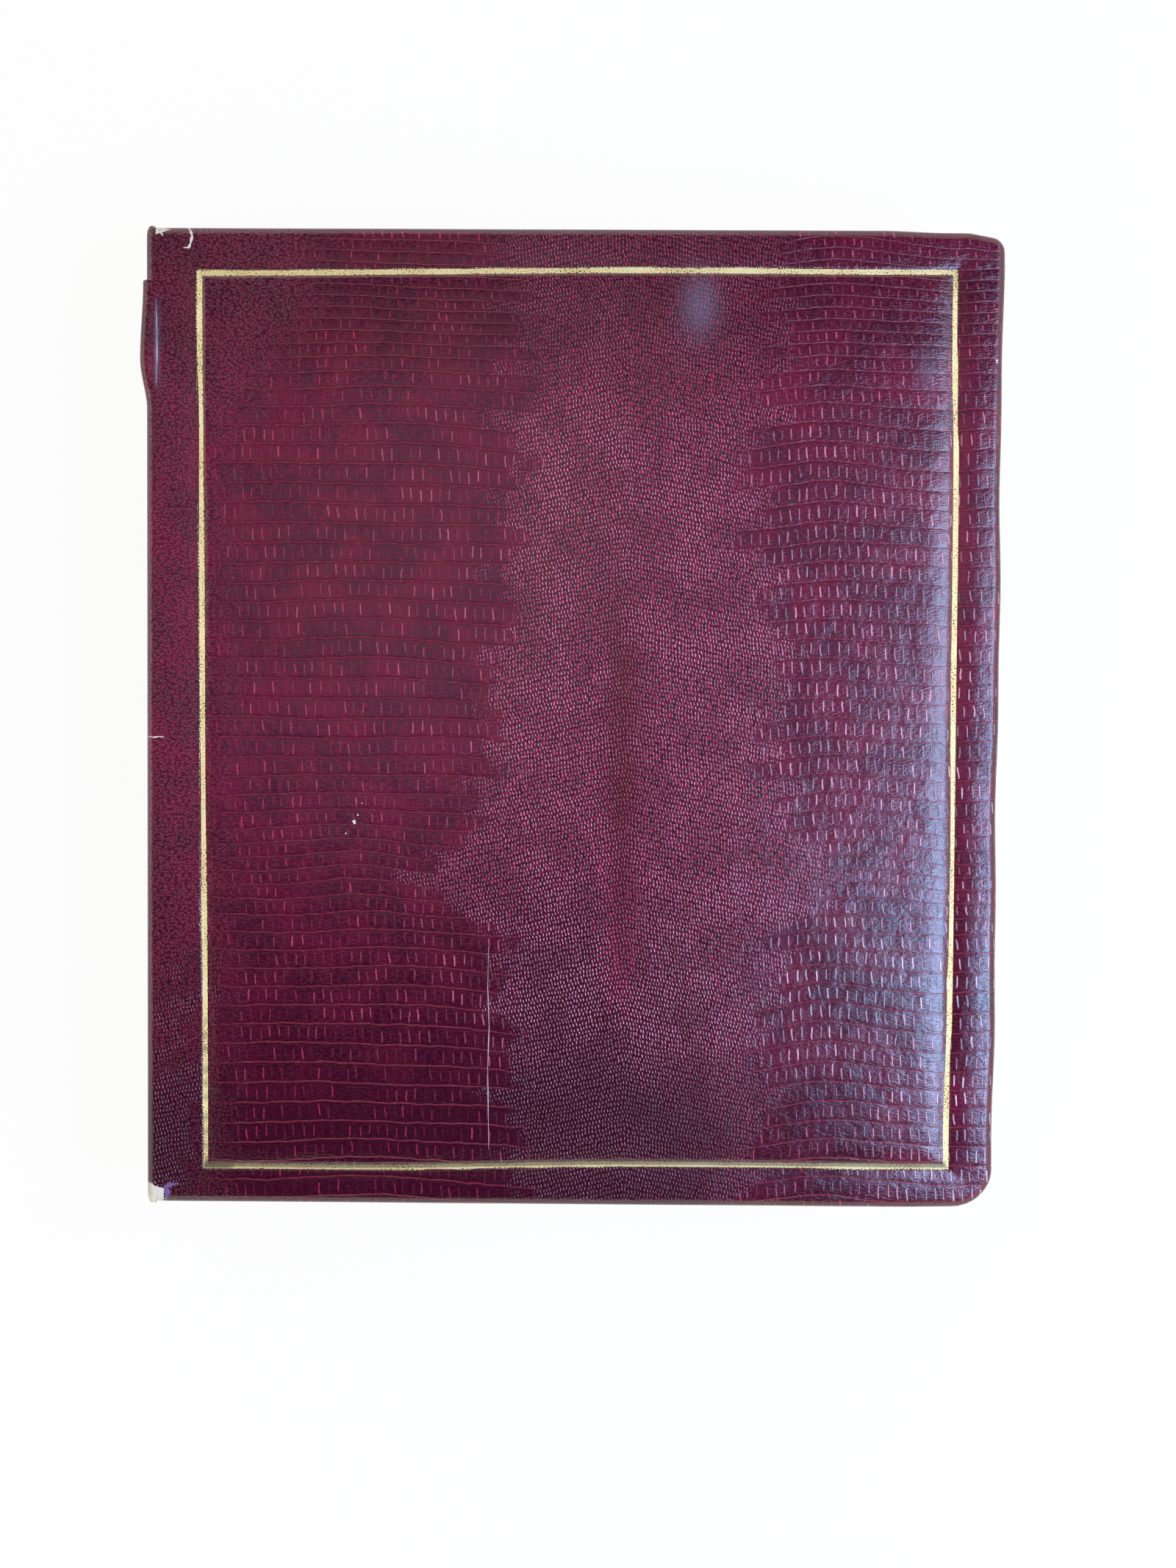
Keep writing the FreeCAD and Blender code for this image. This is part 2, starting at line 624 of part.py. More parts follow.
def make_leaf(number):
    """One leaf, rounded along its hinge line, which is the piece's own Y axis."""
    level = f"stack_bottom + {number - 1} * leaf_pitch + stub_thickness + linen_thickness / 2"
    body = add_body(f"leaf_{number:02d}", "leaf_hinge", "0", level)
    sketch = add_sketch(body, f"leaf_{number:02d}_section", "XZ_Plane")
    half = "leaf_thickness / 2"
    round_ended(sketch, [("leaf_width", f"-{half}"), ("leaf_width", half)], "0", "0", half, 90)
    pad(body, sketch, "leaf_height", symmetric=True)


# Build, test and write.

def check_pieces(nodes):
    """Stop if any feature failed or any piece has no sound shape."""
    for item in doc.Objects:
        if "Invalid" in item.State or "Error" in item.State:
            raise RuntimeError(f"{item.Label} failed: {item.State}")
    for node in nodes:
        if node.Shape.isNull() or not node.Shape.isValid():
            raise RuntimeError(f"{node.Label} has no sound shape")


fill_sheet()
make_cover("front")
make_cover("back")
make_gold_rule()
make_spine()
make_peg_plate()
make_plate_rivets()
make_pegs()
make_clamp_bar()
make_lock_slide()
make_lock_knob()
make_leaf_stubs()
make_linen_hinges()
for leaf_number in range(1, LEAF_COUNT + 1):
    make_leaf(leaf_number)
doc.recompute()

NODES = ["front_leather", "front_gold_rule", "front_padding", "front_board", "front_endpaper",
         "spine_leather", "spine_board", "spine_lining",
         "back_leather", "back_padding", "back_board", "back_endpaper",
         "peg_plate", "plate_rivets", "pegs", "clamp_bar", "lock_slide", "lock_knob",
         "leaf_stubs", "linen_hinges"]
NODES += [f"leaf_{number:02d}" for number in range(1, LEAF_COUNT + 1)]
pieces = [doc.getObjectsByLabel(label)[0] for label in NODES]
check_pieces(pieces)
os.makedirs("parts", exist_ok=True)
for piece in pieces:
    piece.Shape.exportStep(f"parts/{piece.Label}.step")
    print(piece.Label, len(piece.Shape.Solids), "solids", round(piece.Shape.Volume, 1), "mm3")
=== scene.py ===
# %% [markdown]
# # A stamp album in burgundy lizard-grained leather
# The album is a padded case of leather round twenty stiff leaves, which a peg binding holds. The packed
# CAD model gives every piece its place. This script dresses it: leather, gold, paper, linen and steel.
# Lengths in this script are millimetres, and become metres only where Blender takes them.

# %% Load the frame
import json
import math
from functools import partial

import bmesh
import bpy
import numpy as np
from mathutils import Matrix, Vector

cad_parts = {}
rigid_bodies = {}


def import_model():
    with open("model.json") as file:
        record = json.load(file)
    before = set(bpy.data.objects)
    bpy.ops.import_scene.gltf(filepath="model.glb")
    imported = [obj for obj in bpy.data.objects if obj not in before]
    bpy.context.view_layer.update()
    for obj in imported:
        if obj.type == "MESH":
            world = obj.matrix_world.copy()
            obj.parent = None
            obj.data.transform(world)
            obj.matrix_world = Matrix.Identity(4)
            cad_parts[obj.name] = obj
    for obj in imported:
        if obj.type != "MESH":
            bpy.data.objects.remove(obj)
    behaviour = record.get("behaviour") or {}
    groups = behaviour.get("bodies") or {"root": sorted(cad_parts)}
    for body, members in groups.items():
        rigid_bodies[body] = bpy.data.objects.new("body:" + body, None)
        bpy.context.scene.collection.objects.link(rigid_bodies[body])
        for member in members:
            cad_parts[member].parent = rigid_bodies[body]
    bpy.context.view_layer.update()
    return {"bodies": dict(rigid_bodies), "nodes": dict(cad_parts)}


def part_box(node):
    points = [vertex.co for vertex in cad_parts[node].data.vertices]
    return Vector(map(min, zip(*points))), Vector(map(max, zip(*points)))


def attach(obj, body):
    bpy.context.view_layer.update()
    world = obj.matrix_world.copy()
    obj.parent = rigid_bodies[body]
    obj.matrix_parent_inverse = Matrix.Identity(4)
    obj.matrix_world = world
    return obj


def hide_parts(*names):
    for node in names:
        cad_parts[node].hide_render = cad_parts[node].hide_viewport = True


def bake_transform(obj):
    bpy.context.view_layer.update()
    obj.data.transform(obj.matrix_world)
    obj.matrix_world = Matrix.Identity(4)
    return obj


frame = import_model()
MM = 0.001


def node_box(node):
    low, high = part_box(node)
    return np.array(low) / MM, np.array(high) / MM


cover_low, cover_high = node_box("front_leather")
seam_x, inside_z = cover_low[0], cover_low[2]
fore_x, head_y, top_z = cover_high
print("cover from", cover_low.round(2), "to", cover_high.round(2))

# %% [markdown]
# ## The camera
# The photograph looks almost straight down. Its corners give the view: the tail is a little further off
# than the head, so the camera is tilted by a degree and a half, and the picture is turned by a third of
# a degree. A real lens is described by its focal length in pixels, which Blender takes as millimetres
# on its sensor. The view could be found by eye, but the corners settle all its numbers together.

# %% Set up the camera
IMAGE_SIZE = (1600, 2133)
FOCAL_PIXELS = 2278.4
SENSOR_WIDTH = 36
CAMERA_PLACE = (9.44, -4.85, top_z + 500)
CAMERA_TILT = (-1.603, 0.429, 0.371)

lens = bpy.data.cameras.new("camera")
lens.sensor_width = SENSOR_WIDTH
lens.lens = FOCAL_PIXELS / max(IMAGE_SIZE) * SENSOR_WIDTH
camera = bpy.data.objects.new("camera", lens)
bpy.context.scene.collection.objects.link(camera)
turn_x, turn_y, turn_z = (math.radians(angle) for angle in CAMERA_TILT)
turning = Matrix.Rotation(turn_z, 4, "Z") @ Matrix.Rotation(turn_x, 4, "X")
turning = turning @ Matrix.Rotation(turn_y, 4, "Y")
camera.matrix_world = Matrix.Translation([place * MM for place in CAMERA_PLACE]) @ turning
bpy.context.scene.camera = camera
bpy.context.scene.view_settings.view_transform = "Standard"
print("lens", round(lens.lens, 2), "mm")

# %% [markdown]
# ## Small tools
# Colours are written as the sRGB hex values that a painter would pick, and Blender's shaders want them
# linear. One helper adds a node, in materials and in Geometry Nodes alike: it takes the values of the
# node's sockets in their order, or at the sockets that are named, and hands back the node's outputs for
# the next node to use.


# %% Colours and nodes
def linear(hex_colour):
    channels = [int(hex_colour[i : i + 2], 16) / 255 for i in (1, 3, 5)]
    return tuple(c / 12.92 if c <= 0.04045 else ((c + 0.055) / 1.055) ** 2.4 for c in channels) + (1.0,)


def plug(node, sockets):
    for socket, value in sockets.items():
        if isinstance(value, bpy.types.NodeSocket):
            node.id_data.links.new(value, node.inputs[socket])
        else:
            node.inputs[socket].default_value = linear(value) if isinstance(value, str) else value


def add_node(tree, kind, *values, at=None, **settings):
    node = tree.nodes.new(kind if "Node" in kind else "ShaderNode" + kind)
    for name, value in settings.items():
        setattr(node, name, value)
    plug(node, dict(zip(at or range(len(values)), values)))
    return node.outputs


# Settings that come again and again, with the sockets they fill
TIMES = {"operation": "MULTIPLY"}
TIMES_PLUS = {"operation": "MULTIPLY_ADD"}
SOFT = {"interpolation_type": "SMOOTHSTEP"}
COLOURS = {"data_type": "RGBA", "at": (0, 6, 7)}
NOISE = {"at": ("Vector", "Scale", "Detail")}
FLAT_NOISE = NOISE | {"noise_dimensions": "2D"}
BUMP = {"at": ("Strength", "Distance", "Height")}


def blank_material(name):
    material = bpy.data.materials.new(name)
    material.use_nodes = True
    tree = material.node_tree
    return material, partial(add_node, tree), tree.nodes["Principled BSDF"]


# %% [markdown]
# Most pieces here are lofts: rows of points, each joined to the next by a strip of quads. So one
# function numbers the rows and another joins them. Soft steps and humps give every slow change of shape
# or colour: a step rises between two places, and a hump has a middle and a width.


# %% Meshes
def numbered(count, size, start=0):
    return np.arange(start, start + count * size).reshape(count, size).tolist()


def loft(rows, ring=False):
    faces = []
    for first, second in zip(rows, rows[1:]):
        pairs = list(zip(first, second))
        pairs += pairs[:1] if ring else []
        faces += [(a, b, d, c) for (a, c), (b, d) in zip(pairs, pairs[1:])]
    return faces


def make_piece(name, points, faces, material, smooth_angle=40):
    mesh = bpy.data.meshes.new(name)
    mesh.from_pydata((np.asarray(points) * MM).tolist(), [], faces)
    mesh.materials.append(material)
    shaper = bmesh.new()
    shaper.from_mesh(mesh)
    bmesh.ops.recalc_face_normals(shaper, faces=shaper.faces)
    shaper.to_mesh(mesh)
    shaper.free()
    mesh.shade_smooth()
    mesh.set_sharp_from_angle(angle=math.radians(smooth_angle))
    piece = bpy.data.objects.new(name, mesh)
    bpy.context.scene.collection.objects.link(piece)
    print(name, len(mesh.polygons), "faces")
    return piece


def store(piece, name, columns):
    layer = piece.data.attributes.new(name, "FLOAT_VECTOR", "POINT")
    layer.data.foreach_set("vector", np.stack(columns, 1).astype(np.float32).ravel())


def smooth(value, low, high):
    share = np.clip((value - low) / (high - low), 0, 1)
    return share * share * (3 - 2 * share)


def hump(value, middle, width):
    return np.exp(-(((value - middle) / width) ** 2))


# %% [markdown]
# ## The lizard's pattern
# A lizard skin has rows of plates on its flanks, a band of tiny scales down the back, and pebbled skin
# where it was trimmed. Each point of the leather gets three numbers for the shader: how far along the
# skin it lies, how far up, and which row it is in. The rows dip towards the back and arch over the
# flank, so their lift is a formula. Row lines are also pressed into the mesh, because they catch the
# light from any side. A picture of a skin would be the common way, but a formula has no resolution, and
# each part of it can be moved by one number.

# %% Rows, band and pebbles
ROW_PITCH = 5.8
HEAD_SQUEEZE = 2.5
HIP_SQUEEZE = 1.8
HIP_Y = -45.0
BACK_X = 17.0
ROW_DEPTH = 0.06
heights = np.linspace(-260, 260, 2081)
pitches = ROW_PITCH - HEAD_SQUEEZE * smooth(heights, 88, 120) - HIP_SQUEEZE * hump(heights, HIP_Y, 17)
row_counts = np.cumsum(np.gradient(heights) / pitches)


def row_number(x, y):
    # Each hump has a height, a place and a width, all in millimetres
    lift = -3.0 * hump(x, BACK_X, 34) + 1.7 * hump(x, 77, 15)
    lift = lift + 0.5 * hump(x, -62, 25) - 0.5 * hump(x, 112, 8)
    lift *= 1 + 0.4 * smooth(-y, 40, 90)
    lift += 1.6 * hump(x, -62, 14) * hump(y, HIP_Y, 16) + 1.6 * hump(x, 92, 14) * hump(y, HIP_Y, 16)
    lift += 0.30 * np.sin(x / 9.0 + y / 13.0) + 0.35 * np.sin(x / 21.0 - y / 9.0 + 1.3)
    return np.interp(y - lift, heights, row_counts)


def band_depth(x, y):
    left = -17 - 6 * hump(y, -5, 22) - 26 * hump(y, HIP_Y, 14)
    right = 57 + 7 * hump(y, 115, 15) - 6 * hump(y, 66, 16) + 4 * hump(y, 15, 22) + 22 * hump(y, HIP_Y, 15)
    back = np.minimum(x - left, right - x)
    tail_margin = np.minimum(-111 - x, (-88 - y) / 3)
    return np.maximum(back, tail_margin)


def pebble_depth(x, y):
    return -111 + 29 * smooth(y, 75, 135) - x


def row_groove(x, y):
    row = row_number(x, y)
    from_line = np.abs(row - np.round(row)) * np.interp(y, heights, pitches)
    plates = smooth(-band_depth(x, y), -1, 4) * smooth(-pebble_depth(x, y), -2, 4)
    return -ROW_DEPTH * (1 - smooth(from_line, 0.1, 0.8)) * plates


tail_row, head_row = np.interp((-head_y, head_y), heights, row_counts)
print("rows from tail to head", round(float(head_row - tail_row)))

# %% [markdown]
# ## The gold rule's line
# The rule was stamped by hand, so its four lines are not quite straight or square. They are functions
# here, and both the groove in the leather and the foil in it follow them. Beside the groove the padding
# sinks, by a different depth on each side of the cover.

# %% Where the gold rule runs
GROOVE_DEPTH = 0.36
SHOULDERS = np.array([0.18, 0.75, 0.28, 0.42])
SHOULDER_WIDTH = 3.6
CORNER_BLEND = 3


def rule_spine(y):
    return -110.4 + 1.7 * smooth(-y, -140, 140) + 0.12 * np.sin(y / 25)


def rule_fore(y):
    return 114.7 + 0.4 * hump(y, -45, 35) - 0.7 * smooth(-y, 60, 130) - 1.1 * smooth(y, 60, 135)


def rule_head(x):
    return 133.4 - 1.3 * smooth(-x, -10, 112) + 0.08 * np.sin(x / 19)


def rule_tail(x):
    return -134.8 + 1.6 * smooth(x, -70, 20) + 0.08 * np.sin(x / 23)


def rule_sides(x, y):
    return np.stack([rule_spine(y) - x, x - rule_fore(y), y - rule_head(x), rule_tail(x) - y])


def rule_groove(x, y):
    sides = rule_sides(x, y)
    nearest = sides.max(0)
    shares = np.exp((sides - nearest) / CORNER_BLEND)
    shoulder = np.tensordot(SHOULDERS, shares / shares.sum(0), 1)
    stamped = -GROOVE_DEPTH * (1 - smooth(nearest, 0.78, 1.05)) * (1 - smooth(-nearest, 0.8, 1.5))
    return stamped - shoulder * np.exp(-((nearest / SHOULDER_WIDTH) ** 2))


rule_size = (rule_fore(0.0) - rule_spine(0.0), rule_head(0.0) - rule_tail(0.0))
print("rule", round(float(rule_size[0]), 1), "by", round(float(rule_size[1]), 1), "mm")

# %% [markdown]
# A padded cover is never flat. Its middle is crowned, it ripples a little, and the iron that stamped
# the rule has flattened the rows beside it.

# %% Relief of the two covers
CROWN = 0.45


def front_relief(x, y):
    crown = CROWN * (1 - (x / 128) ** 2) * (1 - (y / 146) ** 2)
    ripple = 0.07 * np.sin(x / 17 + 1.3) * np.sin(y / 23) + 0.05 * np.sin((x + y) / 11)
    ironed = smooth(np.abs(rule_sides(x, y).max(0)), 1.2, 2.4)
    return (crown + ripple + rule_groove(x, y)) * smooth(x, seam_x, seam_x + 6) + row_groove(x, y) * ironed


def back_relief(x, y):
    return row_groove(x, y)


# %% [markdown]
# ## Lizard leather
# The real finish is calf embossed with a lizard plate, dyed burgundy, with a brighter crimson left in
# the recesses. A painted highlight, pink and lavender, lightens the raised ticks, scales and pebbles, and
# painted shade darkens the lee of each dash and the sides of the row lines. One pattern of short dashes
# serves twice: as the ticks of the flank plates and, smaller and closer, as the scales of the back.
# Everything reads the skin coordinates, so the grain follows the leather over the edges and stays put
# when the cover opens.

# %% One pattern of dashes
ROW_SHIFT = 7.3
SOFT_END = 0.15


def dashes(add, across, along, width, low, high, lean, stray):
    row = add("Math", along, operation="FLOOR")[0]
    part = add("Math", along, operation="FRACT")[0]
    shift = add("TexWhiteNoise", row, at=["W"], noise_dimensions="1D")["Value"]
    place = add("Math", part, lean, across, **TIMES_PLUS)[0]
    place = add("Math", shift, ROW_SHIFT, place, **TIMES_PLUS)[0]
    cell = add("Math", place, operation="FLOOR")[0]
    inside = add("Math", place, operation="FRACT")[0]
    key = add("CombineXYZ", cell, row)[0]
    chance = add("TexWhiteNoise", key, at=["Vector"], noise_dimensions="2D")["Color"]
    luck = add("SeparateXYZ", chance)

    # One dash: its sides, its ends and the shadow on its lee
    middle = add("Math", luck[0], 0.2, 0.5, **TIMES_PLUS)[0]
    aside = add("Math", inside, middle, operation="SUBTRACT")[0]
    apart = add("Math", aside, operation="ABSOLUTE")[0]
    side = add("MapRange", apart, width, width / 4, **SOFT)[0]
    longer = add("Math", luck[1], stray, part, **TIMES_PLUS)[0]
    rise = add("MapRange", longer, low, low + SOFT_END, **SOFT)[0]
    fall = add("MapRange", longer, high + SOFT_END, high, **SOFT)[0]
    ends = add("Math", rise, fall, **TIMES)[0]
    mask = add("Math", side, ends, **TIMES)[0]
    lee = add("MapRange", aside, -2.6 * width, -width, **SOFT)[0]
    behind = add("MapRange", aside, -width / 4, -width)[0]
    shadow = add("Math", lee, behind, **TIMES)[0]
    shadow = add("Math", shadow, ends, **TIMES)[0]
    return mask, shadow, luck, shift


# %% [markdown]
# The shader starts from what the points carry: their place on the skin, how deep they lie in each zone,
# their painted shade and ruddy streak, their rubbed spots, stains and painted highlight, and their painted
# sheen. Four noises stand for what is never regular: the wander of the pattern, patches of dye, crimson
# flecks and the finest grit.

# %% Leather: places and noises
DRIFT_SIZE = 6
PATCH_SIZE = 15
GRIT_SIZE = 0.5
FLECK = (1 / 1.7, 1 / 0.55, 0.0)

# Embossed calf, dyed and waxed: deep red in the dips, a painted rosy sheen on the scales with painted shade
# beside them, and the soft gloss of wax
leather, add, surface = blank_material("burgundy_lizard_leather")
skin, zones, wear_and_light = (add("Attribute", attribute_name=name)["Vector"] for name in ("skin", "zones", "wear_and_light"))
along, up, row = add("SeparateXYZ", skin)
band, pebbled, shade_and_streak = add("SeparateXYZ", zones)
bare, stain_and_highlight, painted_sheen = add("SeparateXYZ", wear_and_light)

drift = add("TexNoise", skin, 1 / DRIFT_SIZE, 2.0, **FLAT_NOISE)["Color"]
wander = add("VectorMath", drift, (0.5, 0.5, 0.5), operation="SUBTRACT")[0]
wander_x, wander_y, wander_z = add("SeparateXYZ", wander)
patch = add("TexNoise", skin, 1 / PATCH_SIZE, 3.0, **FLAT_NOISE)["Fac"]
patch = add("MapRange", patch, 0.4, 0.62)[0]
long = add("VectorMath", skin, FLECK, **TIMES)[0]
fleck = add("TexNoise", long, 1.0, 2.0, **FLAT_NOISE)["Fac"]
fleck = add("MapRange", fleck, 0.46, 0.70)[0]
grit = add("TexNoise", skin, 1 / GRIT_SIZE, 3.0, **FLAT_NOISE)["Fac"]
print("noises of", DRIFT_SIZE, PATCH_SIZE, "and", GRIT_SIZE, "mm")

# %% Leather: flank plates, with row lines and ticks
TICK_SPACING = 2.8

# Width, start, end, lean and stray of a dash, as shares of its cell
TICK_FORM = (0.10, 0.24, 0.78, 0.10, 0.2)

uneven_row = add("Math", wander_y, 0.16, row, **TIMES_PLUS)[0]
off_line = add("Math", uneven_row, 0.5, operation="PINGPONG")[0]
line = add("MapRange", off_line, 0.048, 0.01, **SOFT)[0]
shade = add("MapRange", off_line, 0.13, 0.05, **SOFT)[0]
sway = add("Math", wander_x, 0.4, **TIMES)[0]
tick_place = add("Math", along, 1 / TICK_SPACING, sway, **TIMES_PLUS)[0]
tick_shape, tick_shadow, tick_luck, row_luck = dashes(add, tick_place, uneven_row, *TICK_FORM)
strong = add("Math", painted_sheen, painted_sheen, **TIMES)[0]
steady = add("Math", strong, 0.3, 0.08, **TIMES_PLUS)[0]
tick_power = add("Math", tick_luck[2], tick_luck[2], steady, **TIMES_PLUS)[0]
tick_group = add("Math", patch, 0.7, 0.5, **TIMES_PLUS)[0]
tick_power = add("Math", tick_power, tick_group, **TIMES)[0]
tick = add("Math", tick_shape, tick_power, **TIMES)[0]
print("ticks", TICK_SPACING, "mm apart")

# %% Leather: tiny scales of the back, in rows that fall away on both sides of the spine line
SCALE_WIDTH = 0.95
SCALE_LENGTH = 1.4
SCALE_SLOPE = 0.25
SCALE_FORM = (0.17, 0.30, 0.88, 0.22, 0.3)

from_spine = add("Math", along, BACK_X, operation="SUBTRACT")[0]
apart = add("Math", from_spine, operation="ABSOLUTE")[0]
chevron = add("Math", apart, SCALE_SLOPE, up, **TIMES_PLUS)[0]
scale_row = add("Math", chevron, 1 / SCALE_LENGTH, wander_z, **TIMES_PLUS)[0]
scale_place = add("Math", along, 1 / SCALE_WIDTH, wander_y, **TIMES_PLUS)[0]
scale, scale_shadow, scale_luck, _ = dashes(add, scale_place, scale_row, *SCALE_FORM)
scale_chance = add("Math", scale_luck[2], 0.7, 0.4, **TIMES_PLUS)[0]
bright = add("Math", patch, 1.3, 1.0, **TIMES_PLUS)[0]
for share in (scale_chance, painted_sheen, scale):
    bright = add("Math", bright, share, **TIMES)[0]
print("scales of", SCALE_WIDTH, "by", SCALE_LENGTH, "mm")

# %% Leather: pebbles of the trimmed edge, and where each pattern holds
PEBBLE = (1 / 1.05, 1 / 0.8, 0.0)

beaded = add("VectorMath", skin, PEBBLE, **TIMES)[0]
pebble = add("TexVoronoi", beaded, 1.0, at=("Vector", "Scale"), voronoi_dimensions="2D")["Distance"]
pebble = add("MapRange", pebble, 0.65, 0.15)[0]

# The borders between the patterns are ragged
ragged_band = add("Math", wander_x, 22.0, band, **TIMES_PLUS)[0]
ragged_band = add("Math", row_luck, 14.0, ragged_band, **TIMES_PLUS)[0]
on_back = add("MapRange", ragged_band, -2.0, 14.0, **SOFT)[0]
ragged_edge = add("Math", wander_y, 18.0, pebbled, **TIMES_PLUS)[0]
on_edge = add("MapRange", ragged_edge, -16.0, 3.0)[0]
print("nodes for three patterns", len(leather.node_tree.nodes))

# %% [markdown]
# The colours are laid from dark to light: the ground colour, patches of dye, crimson veins, the
# darkening, painted shade beside the row lines, the crimson lines, painted shadow beside the ticks, then
# the ticks with their painted highlight. Where the stored darkness is positive the leather is darkened,
# partly as painted shade, and where it is negative the hollows turn ruddy along the streak.

# %% Leather: colours of the plates
PLATE = "#47132c"
# Deep dye, and the dark colour of painted shade
DEEP_DYE_AND_SHADE = "#39031e"
DYE = "#6b0f34"
CRIMSON = "#a81c4c"
# Painted shade beside the row lines, and painted shadow on the lee of ticks and scales
PAINTED_SHADE = "#2e0512"
# Painted highlight on the ticks and on the pebbles' tops
HIGHLIGHT_PINK = "#e29aaa"
# Painted glint, white, on the ticks where the painted sheen is strongest
GLINT_WHITE = "#dcd2ea"

# The stored darkness mixes in the deep colour: painted shade in places, darker leather in others
base = add("Mix", shade_and_streak, PLATE, DEEP_DYE_AND_SHADE, **COLOURS)[2]
dyed = add("Math", patch, 0.6, **TIMES)[0]
base = add("Mix", dyed, base, DYE, **COLOURS)[2]
veined = add("Math", fleck, 0.30, **TIMES)[0]
veined = add("Mix", veined, base, CRIMSON, **COLOURS)[2]
# The same darkness over the crimson veins, painted shade in places
darkening = add("Math", shade_and_streak, 0.6, **TIMES)[0]
veined = add("Mix", darkening, veined, DEEP_DYE_AND_SHADE, **COLOURS)[2]
# Painted shade beside the row lines
shaded = add("Math", shade, 0.6, **TIMES)[0]
plates = add("Mix", shaded, veined, PAINTED_SHADE, **COLOURS)[2]
drawn = add("Math", line, 0.55, **TIMES)[0]
plates = add("Mix", drawn, plates, CRIMSON, **COLOURS)[2]
# Painted shadow on the lee of each tick, darker where the painted sheen is strong
lee = add("Math", tick_shadow, strong, **TIMES)[0]
plates = add("Mix", lee, plates, PAINTED_SHADE, **COLOURS)[2]
# A painted highlight on the ticks: crimson where the painted sheen is weak, pink where it is strong and
# white where it is strongest
tinted = add("Mix", painted_sheen, CRIMSON, HIGHLIGHT_PINK, **COLOURS)[2]
glinted = add("MapRange", painted_sheen, 0.8, 1.1)[0]
tinted = add("Mix", glinted, tinted, GLINT_WHITE, **COLOURS)[2]
plates = add("Mix", tick, plates, tinted, **COLOURS)[2]
print("plates from", PAINTED_SHADE, "to", GLINT_WHITE)

# %% Leather: colours of the scales and the pebbles
OXBLOOD = "#520420"
# A painted sheen on the back's scales
SHEEN = "#d69dbc"

# The hollows between the scales
hollow = add("Mix", fleck, DEEP_DYE_AND_SHADE, CRIMSON, **COLOURS)[2]
hollow = add("Mix", 0.7, base, hollow, **COLOURS)[2]
# The same darkness in the hollows, painted shade in places
hollow = add("Mix", darkening, hollow, DEEP_DYE_AND_SHADE, **COLOURS)[2]
ruddy = add("MapRange", shade_and_streak, 0.0, -1.0)[0]
hollow = add("Mix", ruddy, hollow, OXBLOOD, **COLOURS)[2]
# Painted shadow on the lee of each scale
dark = add("Math", scale_shadow, 0.28, **TIMES)[0]
between = add("Mix", dark, hollow, PAINTED_SHADE, **COLOURS)[2]
# The scales take the painted sheen, as far as the stored painted sheen, chance and patches allow
scales = add("Mix", bright, between, SHEEN, **COLOURS)[2]
gaps = add("MapRange", pebble, 0.45, 0.05, 0.0, 0.45)[0]
# A painted highlight on the pebbles' tops
domes = add("MapRange", pebble, 0.4, 1.0, 0.0, 0.1)[0]
pebbles = add("Mix", gaps, veined, hollow, **COLOURS)[2]
pebbles = add("Mix", domes, pebbles, HIGHLIGHT_PINK, **COLOURS)[2]
print("scales from", PAINTED_SHADE, "to", SHEEN)

# %% Leather: patterns over one another, stains and a painted highlight, torn spots and relief
# Pale bluish grey for two stains and for a painted highlight along the loose leather
STAIN_AND_HIGHLIGHT = "#7d7f9c"
FIBRE = "#efe9dc"
GRAIN_HEIGHT = 0.06

torn = add("Math", grit, bare, operation="ADD")[0]
torn = add("MapRange", torn, 0.95, 1.05)[0]
colour = plates
for share, cover in ((on_edge, pebbles), (on_back, scales), (stain_and_highlight, STAIN_AND_HIGHLIGHT), (torn, FIBRE)):
    colour = add("Mix", share, colour, cover, **COLOURS)[2]

# Relief of the three patterns, as shares of the grain's height
raised = add("Math", tick_shape, painted_sheen, **TIMES)[0]
ridge = add("Math", line, -0.7, raised, **TIMES_PLUS)[0]
beads = add("Math", pebble, 0.6, **TIMES)[0]
relief = add("Mix", on_edge, ridge, beads, at=(0, 2, 3))[0]
relief = add("Mix", on_back, relief, scale, at=(0, 2, 3))[0]
for pattern, share in ((grit, 0.5), (fleck, -0.5), (wander_z, 3.0)):
    relief = add("Math", pattern, share, relief, **TIMES_PLUS)[0]
bump = add("Bump", 1.0, GRAIN_HEIGHT * MM, relief, **BUMP)[0]
rough = add("MapRange", grit, 0.3, 0.7, 0.17, 0.25)[0]
rough = add("Math", torn, 0.4, rough, **TIMES_PLUS)[0]
plug(surface, {"Base Color": colour, "Normal": bump, "Roughness": rough, "Specular IOR Level": 0.8})
print("leather nodes", len(leather.node_tree.nodes))

# %% [markdown]
# ## The cover's leather
# A padded cover is a board, a sheet of wadding and one piece of leather drawn over them and turned in
# at the edges. Its top is a grid, with closer lines where the rule is stamped, and rings of the same
# points carry the leather over the padded edge, round the fold and under the board. The spine side
# stays open, where the joint begins. The tail corner has been knocked rounder than the head corner, so
# each has a radius of its own. A box with a subdivision surface would be quicker, but here each point
# knows its place on the skin, which the grain needs.

# %% The leather's section and its grid
LEATHER = 0.9
GLUED = 1.35
EDGE_ROUND = 2.8
HEAD_CORNER = 4.5
TAIL_CORNER = 12.0
FOLD_ROUND = 0.9
TURN_IN = 14.0
TURN_IN_THICKNESS = 0.5
TIGHTEST_ROUND = 0.4


def graded(low, high, base, fine, spots, reach):
    places = np.linspace(low, high, 6000)
    spacing = np.full_like(places, base)
    for spot in spots:
        spacing = np.minimum(spacing, base - (base - fine) * hump(places, spot, reach))
    counts = np.concatenate([[0], np.cumsum(np.diff(places) / spacing[1:])])
    return np.interp(np.linspace(0, counts[-1], int(counts[-1]) + 1), counts, places)


